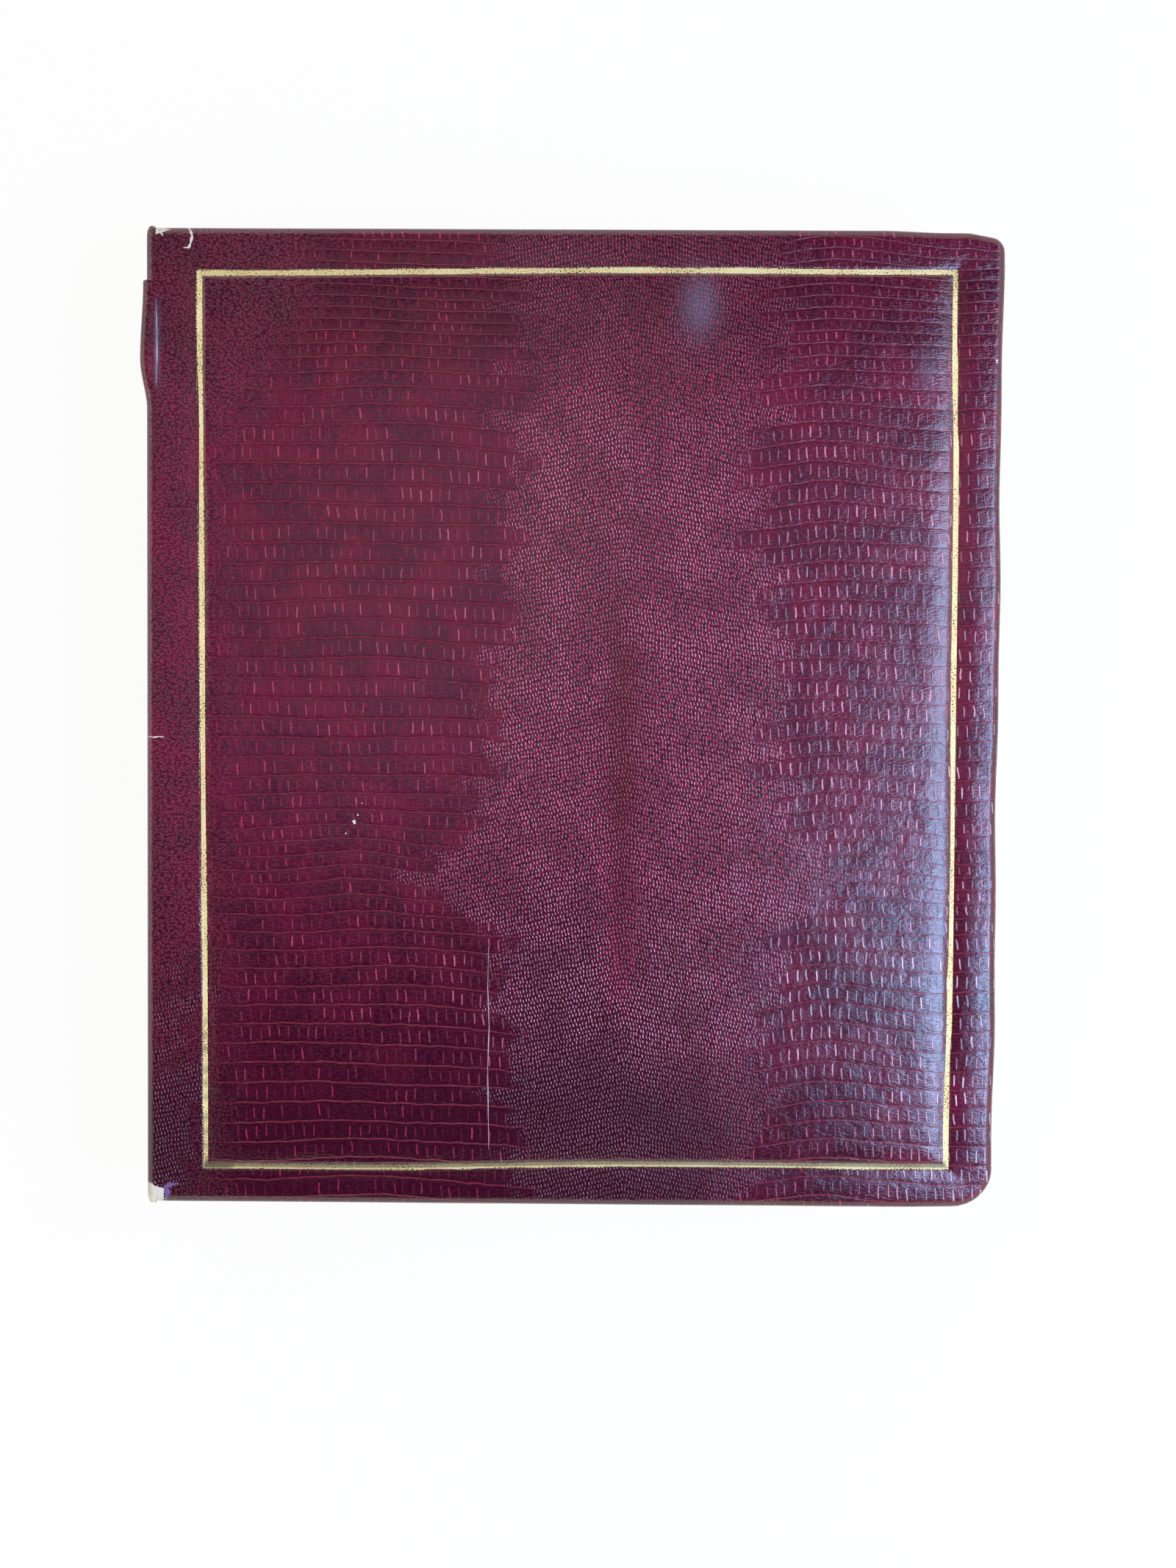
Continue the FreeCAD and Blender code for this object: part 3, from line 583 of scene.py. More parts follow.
inner_fore = fore_x - EDGE_ROUND
inner_head = head_y - EDGE_ROUND
finer_x = (seam_x, -109.6, 114.5, inner_fore)
columns = graded(seam_x, inner_fore, base=3.0, fine=0.4, spots=finer_x, reach=2.6)
lines = graded(-inner_head, inner_head, base=0.6, fine=0.3, spots=(-134, 133), reach=2.5)

# Each step of the section is how far out of the grid's rim it lies, and how far down
quarter = np.linspace(0, math.pi / 2, 9)[1:]
deep = top_z - inside_z
fold_start = deep - FOLD_ROUND
under = EDGE_ROUND - TURN_IN
lining_edge = EDGE_ROUND - LEATHER
section = [(EDGE_ROUND * math.sin(a), EDGE_ROUND * (1 - math.cos(a))) for a in quarter]
section += [(EDGE_ROUND, 4.2), (EDGE_ROUND, fold_start)]
for a in quarter[1::2]:
    section.append((EDGE_ROUND - FOLD_ROUND * (1 - math.cos(a)), fold_start + FOLD_ROUND * math.sin(a)))
section += [(-3.0, deep), (under, deep)]
section += [(under, deep - TURN_IN_THICKNESS), (lining_edge, deep - TURN_IN_THICKNESS)]
section += [(lining_edge, EDGE_ROUND), (0.3, 1.8), (-0.8, GLUED)]
print("grid of", len(columns), "by", len(lines), "points, section of", len(section), "steps")


# %% Cover leather
def corner_radius(y, inset):
    return np.where(y > 0, HEAD_CORNER, TAIL_CORNER) - inset


def round_fore_corners(x, y, fore, head, inset):
    radius = corner_radius(y, inset)
    in_x = np.clip((x - fore) / radius + 1, 0, 1)
    in_y = np.clip((np.abs(y) - head) / radius + 1, 0, 1)
    corner = (in_x > 0) & (in_y > 0)
    round_x = fore + radius * (in_x * np.sqrt(1 - in_y**2 / 2) - 1)
    round_y = np.sign(y) * (head + radius * (in_y * np.sqrt(1 - in_x**2 / 2) - 1))
    return np.where(corner, round_x, x), np.where(corner, round_y, y)


def cover_shell(relief):
    x, y = (grid.ravel() for grid in np.meshgrid(columns, lines, indexing="ij"))
    x, y = round_fore_corners(x, y, inner_fore, inner_head, EDGE_ROUND)
    points = [np.stack([x, y, top_z + relief(x, y)], 1)]
    skins = [np.stack([x, y], 1)]
    grid = numbered(len(columns), len(lines))

    # The rim runs from the spine along the head, down the fore-edge and back along the tail
    rim = [column[-1] for column in grid] + grid[-1][-2::-1] + [column[0] for column in grid[-2::-1]]
    rim_x, rim_y, rim_z = points[0][rim].T
    rim_radius = corner_radius(rim_y, EDGE_ROUND)
    centre_x, centre_y = inner_fore - rim_radius, inner_head - rim_radius
    out_x = np.where(rim_x > centre_x, rim_x - centre_x, 0)
    out_y = np.where(np.abs(rim_y) > centre_y, rim_y - np.sign(rim_y) * centre_y, 0)
    out_length = np.hypot(out_x, out_y)
    out_x, out_y = out_x / out_length, out_y / out_length
    travelled, previous = 0.0, (0.0, 0.0)
    for outward, down in section:
        travelled += math.dist((outward, down), previous)
        previous = (outward, down)
        radius = np.maximum(rim_radius + outward, TIGHTEST_ROUND)
        shrink = radius - (rim_radius + outward)
        squeeze_x = (centre_x - shrink - seam_x) / (centre_x - seam_x)
        base_x = np.where(rim_x > centre_x, centre_x - shrink, seam_x + (rim_x - seam_x) * squeeze_x)
        base_y = np.clip(rim_y, -centre_y, centre_y) * (centre_y - shrink) / centre_y
        height = rim_z - down if down < EDGE_ROUND else np.full_like(rim_z, top_z - down)
        points.append(np.stack([base_x + out_x * radius, base_y + out_y * radius, height], 1))
        skins.append(np.stack([rim_x + out_x * travelled, rim_y + out_y * travelled], 1))
    rings = [rim] + numbered(len(section), len(rim), len(x))
    faces = loft(list(zip(*grid))) + loft(rings) + [tuple(rings[-1])]
    spine_end = grid[0] + [ring[0] for ring in rings[1:]] + [ring[-1] for ring in rings[:0:-1]]
    faces.append(tuple(spine_end))
    return np.concatenate(points), np.concatenate(skins), faces


def settled(points):
    """Years of handling: the head corner droops and the fore-edge is no longer straight."""
    x, y, _ = points.T
    droop = (0.6 * smooth(x, 92, 112) + 1.2 * smooth(x, 117, 125)) * smooth(y, 134.5, 141)
    droop -= 0.3 * smooth(x, 98, 122) * smooth(-y, 136, 142)
    waves = (0.25 * np.sin(y / 17) + 0.15 * np.sin(y / 7.3 + 2)) * smooth(x, 118, 124)
    return points + np.stack([waves, -droop, 0 * x], 1)


# %% [markdown]
# Age is not even, and light is painted in too. The leather is darker towards the lower middle, the tail,
# the head and the lower fore side, and painted shade darkens its lower spine-side quarter and its edges.
# A ruddy streak runs down the back, a painted sheen lightens the ticks and scales towards the fore-edge,
# two pale stains lie near the head, a painted highlight runs along the loose leather at the spine, and
# the corners at the spine are rubbed bare. Each of these is a number that is stored on the points, so
# that the shader can read it. They could be painted by hand, but formulas give the same marks each time.
# The back cover gets the grain, the painted sheen and the painted shade on its edges, and no stains,
# painted highlight or rubbed spots.


# %% What the leather's points know
def dress_leather(piece, along, up, side):
    # Each term is a strength times soft steps and humps at places on the skin, in millimetres
    row = row_number(along, up)
    streak = hump(along, BACK_X - 1, 5) * smooth(up, -95, -65) * smooth(-up, -50, -10)
    hips = hump(up, HIP_Y, 15) * smooth(np.abs(along - BACK_X), 30, 50)
    glint = smooth(along, 80, 105) * smooth(-up, 90, 110)
    # Darker towards the lower middle, the tail, the head and the lower fore side, less where the lamp's
    # reflection falls; the first term is painted shade over the lower spine-side quarter
    shade_and_streak = side * smooth(-up, 10, 110) * smooth(-along, -100, -10)
    shade_and_streak += 0.5 * side * hump(along, 5, 30) * smooth(-up, 30, 70)
    shade_and_streak += 0.6 * side * smooth(-up, 95, 125) * (1 - glint)
    shade_and_streak += 0.7 * side * smooth(up, 95, 120)
    shade_and_streak += 0.7 * side * smooth(along, 55, 100) * smooth(-up, 15, 75) * (1 - 0.8 * glint)
    # Painted shade on every edge of the cover, the back cover's too
    edge = np.maximum(along - fore_x, np.abs(up) - head_y)
    shade_and_streak = np.maximum(shade_and_streak, smooth(edge, -2, 0))
    shade_and_streak = shade_and_streak * (1 - streak) - 0.8 * side * streak
    # A painted sheen that lightens ticks and scales: strongest towards the fore-edge, weaker at the head
    # and the tail, except where the lamp's reflection falls
    painted_sheen = 0.2 + 0.22 * smooth(along, -75, -20)
    painted_sheen += (0.10 + 0.10 * smooth(-up, 30, 90)) * smooth(along, -30, 12)
    painted_sheen += 0.35 * smooth(along, 45, 80) * (0.3 + 0.7 * smooth(-up, -60, 20))
    painted_sheen *= (1 - 0.7 * smooth(up, 75, 118)) * (1 - 0.75 * smooth(-up, 85, 118) * (1 - glint))
    painted_sheen *= (1 - 0.75 * streak) * (1 - 0.4 * hips)
    bare = 1.2 * hump(along, -125.5, 4) * hump(up, -145.5, 5)
    bare += 0.75 * hump(along, -122, 3) * hump(up, 145.8, 1.0)
    # Two pale stains near the head, and a painted highlight along the loose leather at the spine
    stain_and_highlight = 0.35 * hump(along, 38, 5) * hump(up, 123, 9)
    stain_and_highlight += 0.5 * hump(along, -123.3, 0.6) * smooth(up, 96, 104) * smooth(-up, -128, -116)
    stain_and_highlight += 0.25 * hump(along, 106, 3) * hump(up, 104, 6)
    store(piece, "skin", [along, up, row])
    store(piece, "zones", [band_depth(along, up), pebble_depth(along, up), shade_and_streak])
    store(piece, "wear_and_light", [bare * side, stain_and_highlight * side, painted_sheen])


# %% Front and back covers
points, skins, faces = cover_shell(front_relief)
points = settled(points)
front_skin = make_piece("front_cover_leather", points, faces, leather)
dress_leather(front_skin, skins[:, 0], skins[:, 1], 1)
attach(front_skin, "front_cover")
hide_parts("front_leather")

points, skins, faces = cover_shell(back_relief)
points[:, 2] = top_z - points[:, 2]
back_skin = make_piece("back_cover_leather", points, faces, leather)
dress_leather(back_skin, skins[:, 0], skins[:, 1], 0)
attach(back_skin, "back_cover")
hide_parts("back_leather")

# %% [markdown]
# ## The joints and the spine
# The same leather rolls over the joint and down the spine, as a thick strip in two halves that meet in
# the middle of the spine. Near the head the old leather has come loose and bulges.

# %% The spine's section
ROLL = 2.6
BULGE = 1.6
roll_x, roll_z = seam_x - 0.3, top_z - ROLL
spine_x = roll_x - ROLL
middle_z = top_z / 2
half_spine = roll_z - middle_z
lean = 2 * math.atan(BULGE / half_spine)
bow_radius = ROLL + half_spine / math.sin(lean)
bow_x = spine_x - BULGE + bow_radius

# Each station is a place in the section and the direction that the leather faces there
stations = [(seam_x, top_z, 0.0, 1.0)]
for a in np.linspace(0, math.pi / 2 - lean, 13):
    sine, cosine = math.sin(a), math.cos(a)
    stations.append((roll_x - ROLL * sine, roll_z + ROLL * cosine, -sine, cosine))
for a in np.linspace(lean, 0, 11)[1:]:
    sine, cosine = math.sin(a), math.cos(a)
    stations.append((bow_x - bow_radius * cosine, middle_z + bow_radius * sine, -cosine, sine))
stations = np.array(stations)
arc = np.concatenate([[0], np.cumsum(np.hypot(*np.diff(stations[:, :2], axis=0).T))])
print("spine leather runs", arc[-1].round(2), "mm from the joint to the middle of the spine")

# %% Spine leather
LOOSE_LIFT = 2.0
END_WEAR = 0.9


def spine_strip():
    hem = LEATHER / 2
    outer_y = graded(-head_y + hem, head_y - hem, base=0.6, fine=0.25, spots=(130.4, -143), reach=2.0)
    inner_y = np.linspace(head_y - hem, -head_y + hem, 60)
    bend = np.linspace(0, math.pi, 6)[1:-1]
    bow, lap = hem * np.sin(bend), hem * np.cos(bend)
    loop_y = np.concatenate([outer_y, head_y - hem + bow, inner_y, -head_y + hem - bow])
    loop_in = np.concatenate([0 * outer_y, hem - lap, LEATHER + 0 * inner_y, hem + lap])
    slack = smooth(arc, 0.5, 3.5) * smooth(-arc, -16, -7)
    loose = smooth(loop_y, 92, 107) * smooth(-loop_y, -130.6, -129.9)
    loose *= 1 - 0.45 * smooth(loop_y, 107, 130)
    worn = END_WEAR * (1 - np.sqrt(1 - np.clip((np.abs(loop_y) - inner_head) / EDGE_ROUND, 0, 1) ** 2))
    points, skins = [], []
    for (x, z, nx, nz), run, give in zip(stations, arc, slack):
        push = LOOSE_LIFT * give * loose - loop_in - worn * (loop_in < LEATHER / 2)
        points.append(np.stack([x + nx * push, loop_y, z + nz * push], 1))
        skins.append(np.stack([np.full_like(loop_y, seam_x - run), loop_y], 1))
    rows = numbered(len(stations), len(loop_y))
    faces = loft(rows, ring=True) + [tuple(rows[0]), tuple(rows[-1])]
    return np.concatenate(points), np.concatenate(skins), faces


points, skins, faces = spine_strip()
front_joint = make_piece("spine_leather_front", points, faces, leather)
dress_leather(front_joint, skins[:, 0], skins[:, 1], 1)
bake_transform(front_joint)
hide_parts("spine_leather")

points[:, 2] = top_z - points[:, 2]
back_joint = make_piece("spine_leather_back", points, faces, leather)
dress_leather(back_joint, skins[:, 0], skins[:, 1], 0)
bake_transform(back_joint)
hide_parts("spine_leather")

# %% [markdown]
# ## The gold rule
# Gold foil is stamped into the groove with a hot tool. Age has rubbed specks out of it and frayed its
# borders, so the foil's colour and its metal give way to the leather under it where a noise says so. It
# could be a stripe in the leather's shader, but a thin strip of its own keeps crisp edges and is a
# piece in the export too.

# %% Gold foil
GOLD_PALE = "#fff0b4"
GOLD_DEEP = "#f4d48c"
GOLD_DULL = "#6d6548"
BURNT = "#24040e"
FOIL_GRAIN = 0.4
FOIL_PATCH = 17


def gold_foil():
    # Thin foil over leather grain: pale gold with the soft scatter of satin, dark specks and frayed sides
    material, add, surface = blank_material("stamped_gold_foil")
    place = add("Attribute", attribute_name="skin")["Vector"]
    _, across, dull = add("SeparateXYZ", place)
    grain = add("TexNoise", place, 1 / FOIL_GRAIN, 3.0, **FLAT_NOISE)["Fac"]
    patch = add("TexNoise", place, 1 / FOIL_PATCH, 1.0, **FLAT_NOISE)["Fac"]
    aside = add("Math", across, operation="ABSOLUTE")[0]
    frayed = add("MapRange", aside, 0.55, 1.0, 0.0, 0.3)[0]
    loss = add("Math", grain, frayed, operation="ADD")[0]
    loss = add("Math", patch, 0.25, loss, **TIMES_PLUS)[0]
    rubbed = add("MapRange", loss, 0.72, 0.80)[0]
    colour = add("Mix", patch, GOLD_PALE, GOLD_DEEP, **COLOURS)[2]
    colour = add("Mix", dull, colour, GOLD_DULL, **COLOURS)[2]
    colour = add("Mix", rubbed, colour, BURNT, **COLOURS)[2]
    metal = add("MapRange", rubbed, 0.12, 0.0, at=(0, 3, 4))[0]
    bump = add("Bump", 0.8, 0.05 * MM, grain, **BUMP)[0]
    plug(surface, {"Base Color": colour, "Metallic": metal, "Roughness": 0.5, "Normal": bump})
    return material


# %% Path of the rule
PATH_STEPS = 128
CORNER_GUESS = (110.0, 133.0)


def rule_path():
    """The rule's centre points, anticlockwise from its tail corner at the spine, and their mitres."""
    corners = []
    for side_x, side_y in ((-1, -1), (1, -1), (1, 1), (-1, 1)):
        x, y = np.multiply((side_x, side_y), CORNER_GUESS)
        for _ in range(6):
            x = rule_spine(y) if side_x < 0 else rule_fore(y)
            y = rule_tail(x) if side_y < 0 else rule_head(x)
        corners.append((x, y))
    (ax, ay), (bx, by), (cx, cy), (dx, dy) = corners
    share = np.arange(PATH_STEPS) / PATH_STEPS
    tail_x, fore_y = ax + (bx - ax) * share, by + (cy - by) * share
    head_x, spine_y = cx + (dx - cx) * share, dy + (ay - dy) * share
    tail, fore = np.stack([tail_x, rule_tail(tail_x)], 1), np.stack([rule_fore(fore_y), fore_y], 1)
    head, spine = np.stack([head_x, rule_head(head_x)], 1), np.stack([rule_spine(spine_y), spine_y], 1)
    path = np.concatenate([tail, fore, head, spine])
    normals = []
    for run in (path - np.roll(path, 1, 0), np.roll(path, -1, 0) - path):
        run = run / np.linalg.norm(run, axis=1, keepdims=True)
        normals.append(np.stack([-run[:, 1], run[:, 0]], 1))
    mitre = (normals[0] + normals[1]) / (1 + (normals[0] * normals[1]).sum(1, keepdims=True))
    return path, mitre


# %% Gold rule
FOIL_HALF = 1.6 / 1.45
FOIL_LIFT = 0.03

# The foil's section, from its turned-up outer flange over its face and back underneath
FOIL_FACE = ((-1.0, 0.3), (-0.72, 0.06), (0.0, 0.08), (0.6, 0.05), (0.85, -0.02), (1.05, -0.04))
FOIL_UNDER = ((1.1, -0.12), (0.0, -0.14), (-0.8, -0.1))
path, mitre = rule_path()
path_x, path_y = path.T
floor_z = top_z + front_relief(path_x, path_y)
run = np.concatenate([[0], np.cumsum(np.linalg.norm(np.diff(path, axis=0), axis=1))])
at_tail = smooth(-path_y, 132, 133)
at_head = smooth(path_y, 130, 132)
creased = smooth(-path_y, 84, 96) * (path_x < -100) * (np.sin(1.3 * path_y) > 0.2)
spread = FOIL_HALF * (1 + 0.3 * smooth(path_x, 112, 113) * smooth(-np.abs(path_y), -131, -124))
points, skins = [], []
for across, rise in FOIL_FACE + FOIL_UNDER:
    points.append(np.column_stack([path + mitre * across * spread[:, None], floor_z + rise + FOIL_LIFT]))
    dull = 0.85 * at_tail * (across > -0.1) + 0.5 * creased + 0.25 * at_head
    skins.append(np.column_stack([run, np.full_like(run, across), dull]))
rows = numbered(len(points), len(path))
faces = loft(rows + rows[:1], ring=True)
gold_rule = make_piece("gold_rule", np.concatenate(points), faces, gold_foil(), smooth_angle=80)
store(gold_rule, "skin", list(np.concatenate(skins).T))
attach(gold_rule, "front_cover")
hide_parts("front_gold_rule")

# %% [markdown]
# ## Torn fibre
# Where old leather splits, the undyed fibre under its skin shows white. Each crack is a low ridge of
# fibre that follows a few given points on the leather. A painted line would do from far off, but a ridge
# keeps its crisp, uneven edge close up and catches the light.


# %% Torn fibre
FUZZ_SIZE = 0.4


def torn_fibre():
    # Undyed collagen fibre: matt and nearly white, lilac where a film of dye is left on it; the lilac also
    # paints a highlight along the loose leather
    material, add, surface = blank_material("torn_leather_fibre")
    skin = add("Attribute", attribute_name="skin")["Vector"]
    tint = add("SeparateXYZ", skin)[2]
    fuzz = add("TexNoise", skin, 1 / FUZZ_SIZE, 3.0, **FLAT_NOISE)["Fac"]
    white = add("Mix", fuzz, "#f2efe6", "#cfc8ba", **COLOURS)[2]
    lilac = add("Mix", fuzz, "#8a6cab", "#54346a", **COLOURS)[2]
    colour = add("Mix", tint, white, lilac, **COLOURS)[2]
    bump = add("Bump", 0.7, 0.06 * MM, fuzz, **BUMP)[0]
    plug(surface, {"Base Color": colour, "Roughness": 0.85, "Normal": bump})
    return material


def front_height(x, y):
    rolled = roll_z + np.sqrt(np.clip(ROLL**2 - np.clip(roll_x - x, 0, ROLL) ** 2, 0, None))
    over = np.clip((np.abs(y) - inner_head) / EDGE_ROUND, 0, 0.97)
    drop = EDGE_ROUND * (1 - np.sqrt(1 - over**2))
    return np.where(x < roll_x, rolled, top_z + front_relief(np.maximum(x, seam_x), y)) - drop


FIBRE_RISE = 0.10
FIBRE_LIFT = 0.02
STEPS_PER_POINT = 8


def fibre_ridges(name, cracks):
    points, skins, faces = [], [], []
    for route, widths, tint in cracks:
        route = np.array(route, float)
        knots = np.arange(len(route))
        share = np.linspace(0, knots[-1], STEPS_PER_POINT * knots[-1] + 1)
        x, y = (np.interp(share, knots, route[:, axis]) for axis in (0, 1))
        half = np.interp(share, knots, widths) / 2 * (1 + 0.3 * np.sin(5.3 * share + route[0, 1]))
        heading = np.stack([np.gradient(x), np.gradient(y)])
        aside_x, aside_y = np.array([-heading[1], heading[0]]) / np.hypot(*heading)
        rows = numbered(4, len(x), sum(len(part) for part in points))
        for offset, rise in ((-1, 0.0), (0, FIBRE_RISE), (1, 0.0), (0, -FIBRE_RISE)):
            side_x, side_y = x + aside_x * half * offset, y + aside_y * half * offset
            height = front_height(side_x, side_y) + rise + FIBRE_LIFT
            points.append(np.column_stack([side_x, side_y, height]))
            skins.append(np.column_stack([side_x, side_y, np.full_like(x, tint)]))
        faces += loft(rows + rows[:1])
        faces += [tuple(row[end] for row in rows) for end in (0, -1)]
    piece = make_piece(name, np.concatenate(points), faces, fibre)
    store(piece, "skin", list(np.concatenate(skins).T))
    return piece


# %% Cracks of the cover and the joint
fibre = torn_fibre()

# Each crack is its route, its width at each point of the route, and how lilac it is; one entry is no crack
# but a painted highlight
hooked = [(-113.9, 145.6), (-113.1, 144.4), (-112.6, 142.9)]
hooked += [(-113.1, 140.8), (-113.6, 139.5), (-115.2, 139.5)]
crease = [(-23.7, -68), (-23.9, -80), (-23.4, -92), (-23.8, -104), (-23.6, -116), (-23.4, -129)]
cracks_and_highlight = [
    (hooked, [0.5, 0.6, 0.7, 0.6, 0.7, 0.1], 0.0),
    (crease, [0.1, 0.22, 0.3, 0.2, 0.3, 0.08], 0.5),
    ([(-104.5, 145.6), (-102.4, 145.6)], [0.2, 0.2], 0.0),
    # Not a crack: a lilac ridge along the loose leather's bulge, as a painted highlight
    ([(-123.4, 124), (-123.1, 115), (-123.1, 107), (-123.4, 99)], [0.1, 0.35, 0.45, 0.1], 0.6),
    ([(126.0, 107.6), (126.2, 106.4)], [0.5, 0.4], 0.0),
    ([(-64.2, -30.2), (-63.9, -31.2)], [0.9, 0.9], 0.0),
    ([(-63.1, -28.3), (-62.9, -28.8)], [0.4, 0.4], 0.0),
    ([(-61.8, -24.9), (-61.7, -25.2)], [0.3, 0.3], 0.0),
    ([(-66.6, -33.9), (-66.5, -34.3)], [0.4, 0.4], 0.0),
    ([(-121.3, -141.2), (-119.4, -140.4), (-116.7, -140.0)], [0.9, 1.2, 0.3], 1.0),
    ([(-120.5, -141.0), (-120.2, -143.0), (-120.6, -144.6)], [1.5, 1.7, 0.9], 1.0),
    ([(-123.6, 145.2), (-121.6, 144.9), (-119.0, 144.9)], [0.8, 0.9, 0.2], 0.0),
    ([(-123.6, 143.6), (-122.4, 144.2), (-120.6, 144.5)], [0.3, 0.9, 0.3], 0.0),
    ([(-123.5, 144.6), (-122.0, 143.9), (-121.2, 142.9)], [0.5, 0.6, 0.1], 0.0),
]
fibre_and_highlight = fibre_ridges("cover_torn_fibre_and_highlight", cracks_and_highlight)
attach(fibre_and_highlight, "front_cover")
joint_cracks = [
    ([(-126.0, -5.5), (-124.2, -5.7), (-122.4, -5.5), (-120.8, -5.7)], [0.25, 0.4, 0.35, 0.1], 0.0),
    ([(-126.6, -140.0), (-124.4, -141.2), (-121.3, -142.3)], [0.9, 1.3, 1.1], 0.0),
    ([(-126.5, -141.1), (-124.2, -142.3), (-121.4, -143.3)], [1.1, 1.4, 1.3], 0.0),
    ([(-126.2, -142.2), (-124.0, -143.3), (-121.4, -144.2)], [1.0, 1.4, 1.3], 0.0),
    ([(-125.2, -143.3), (-123.6, -144.2), (-121.6, -145.0)], [0.8, 1.2, 1.1], 0.0),
]
joint_fibre = fibre_ridges("joint_torn_fibre", joint_cracks)
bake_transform(joint_fibre)

# %% [markdown]
# ## Wadding
# A padded cover gets its soft edges from a sheet of cotton wadding between board and leather. Nobody
# sees it, but it is what makes the cover swell, so it is here: flat where it lies on the board, crowned
# and thin at the rim.


# %% Wadding
TUFT_SIZE = 4


def cotton_wadding():
    # Carded cotton: white, matt and full of soft tufts
    material, add, surface = blank_material("cotton_wadding")
    place = add("TexCoord")["Object"]
    tuft = add("TexNoise", place, 1 / (TUFT_SIZE * MM), 4.0, **NOISE)["Fac"]
    colour = add("Mix", tuft, "#f1ece0", "#cfc6b2", **COLOURS)[2]
    bump = add("Bump", 0.8, 0.4 * MM, tuft, **BUMP)[0]
    plug(surface, {"Base Color": colour, "Roughness": 0.95, "Normal": bump})
    return material


PAD_POINTS = 61
PAD_CLEARANCE = 0.1
PAD_LIFT = 0.02
RIM_SHARE = 0.12


def wadding_pad(name, node, crown_up):
    low, high = node_box(node)
    share = np.sin(np.linspace(-math.pi / 2, math.pi / 2, PAD_POINTS))
    half = (high - low) / 2 - (GLUED - LEATHER) / 2 - PAD_CLEARANCE
    across, along = (grid.ravel() for grid in np.meshgrid(share, share, indexing="ij"))
    inward = (1 - across**8) * (1 - along**8)
    swell = 2 * half[2] * (RIM_SHARE + (1 - RIM_SHARE) * np.sqrt(np.clip(inward, 0, 1)))
    lumps = 1 - 0.06 * np.sin(across * 19 + 0.7) * np.sin(along * 23) * inward
    middle = (low + high) / 2
    x, y = middle[0] + across * half[0], middle[1] + along * half[1]
    x, y = round_fore_corners(x, y, middle[0] + half[0], middle[1] + half[1], LEATHER)
    base = np.full_like(x, PAD_LIFT)
    layers = [base, base + swell * lumps]
    heights = [low[2] + layer if crown_up else high[2] - layer for layer in layers]
    points = np.concatenate([np.column_stack([x, y, z]) for z in heights])
    points = settled(points) if crown_up else points
    grid = numbered(PAD_POINTS, PAD_POINTS)
    quads = loft(list(zip(*grid)))
    faces = quads + [tuple(len(x) + k for k in reversed(quad)) for quad in quads]
    rim = [row[0] for row in grid] + grid[-1][1:] + [row[-1] for row in grid[-2::-1]] + grid[0][-2:0:-1]
    faces += loft([rim, [k + len(x) for k in rim]], ring=True)
    pad = make_piece(name, points, faces, cotton)
    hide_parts(node)
    return pad


cotton = cotton_wadding()
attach(wadding_pad("front_wadding", "front_padding", True), "front_cover")
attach(wadding_pad("back_wadding", "back_padding", False), "back_cover")

# %% [markdown]
# ## Boards and endpapers
# The CAD model already has these flat pieces right, so they only need a finish. Pulp board is grey and
# speckled, and an endpaper is laid paper with faint lines from its mould. Both patterns are in Object
# coordinates, because the pieces never bend.


# %% Boards and endpapers
SPECK_SIZE = 0.7


def pulp_board():
    # Grey board pressed from waste paper: specks of fibre, no gloss
    material, add, surface = blank_material("pulp_board")
    place = add("TexCoord")["Object"]
    speck = add("TexNoise", place, 1 / (SPECK_SIZE * MM), 4.0, **NOISE)["Fac"]
    colour = add("ValToRGB", speck)[0]
    stops = colour.node.color_ramp.elements
    for stop, position, tint in zip(stops, (0.35, 0.65), ("#8b8577", "#b7b1a1")):
        stop.position = position
        stop.color = linear(tint)
    bump = add("Bump", 0.5, 0.05 * MM, speck, **BUMP)[0]
    plug(surface, {"Base Color": colour, "Roughness": 0.9, "Normal": bump})
    return material


LAID_SPACING = 1.2
LAID_CLOUD = 35


def laid_paper():
    # Cream laid paper: close lines from the mould, a little yellowed in clouds
    material, add, surface = blank_material("cream_laid_paper")
    place = add("TexCoord")["Object"]
    across = add("SeparateXYZ", place)[0]
    turns = add("Math", across, math.tau / (LAID_SPACING * MM), **TIMES)[0]
    lines = add("Math", turns, operation="SINE")[0]
    cloud = add("TexNoise", place, 1 / (LAID_CLOUD * MM), 5.0, **NOISE)["Fac"]
    share = add("Math", lines, 0.08, cloud, **TIMES_PLUS)[0]
    colour = add("Mix", share, "#efe6cf", "#dccfae", **COLOURS)[2]
    bump = add("Bump", 0.3, 0.02 * MM, lines, **BUMP)[0]
    plug(surface, {"Base Color": colour, "Roughness": 0.8, "Normal": bump})
    return material


def finish_node(material, *names):
    for name in names:
        mesh = frame["nodes"][name].data
        mesh.materials.clear()
        mesh.materials.append(material)
    print(material.name, "on", ", ".join(names))


finish_node(pulp_board(), "front_board", "back_board", "spine_board")
finish_node(laid_paper(), "front_endpaper", "back_endpaper")

# %% [markdown]
# ## Lining cloth and linen
# Binders line a spine with cloth and carry it over both joints, and each stiff leaf hangs on a strip of
# linen. All of these are strips of woven cloth, so one function makes them: a line in section, given a
# thickness and drawn out along the spine. The strips bend at their joints, so their weave is drawn on
# their own flat coordinates.


# %% Woven cloth
SLUB_SIZE = 2.5


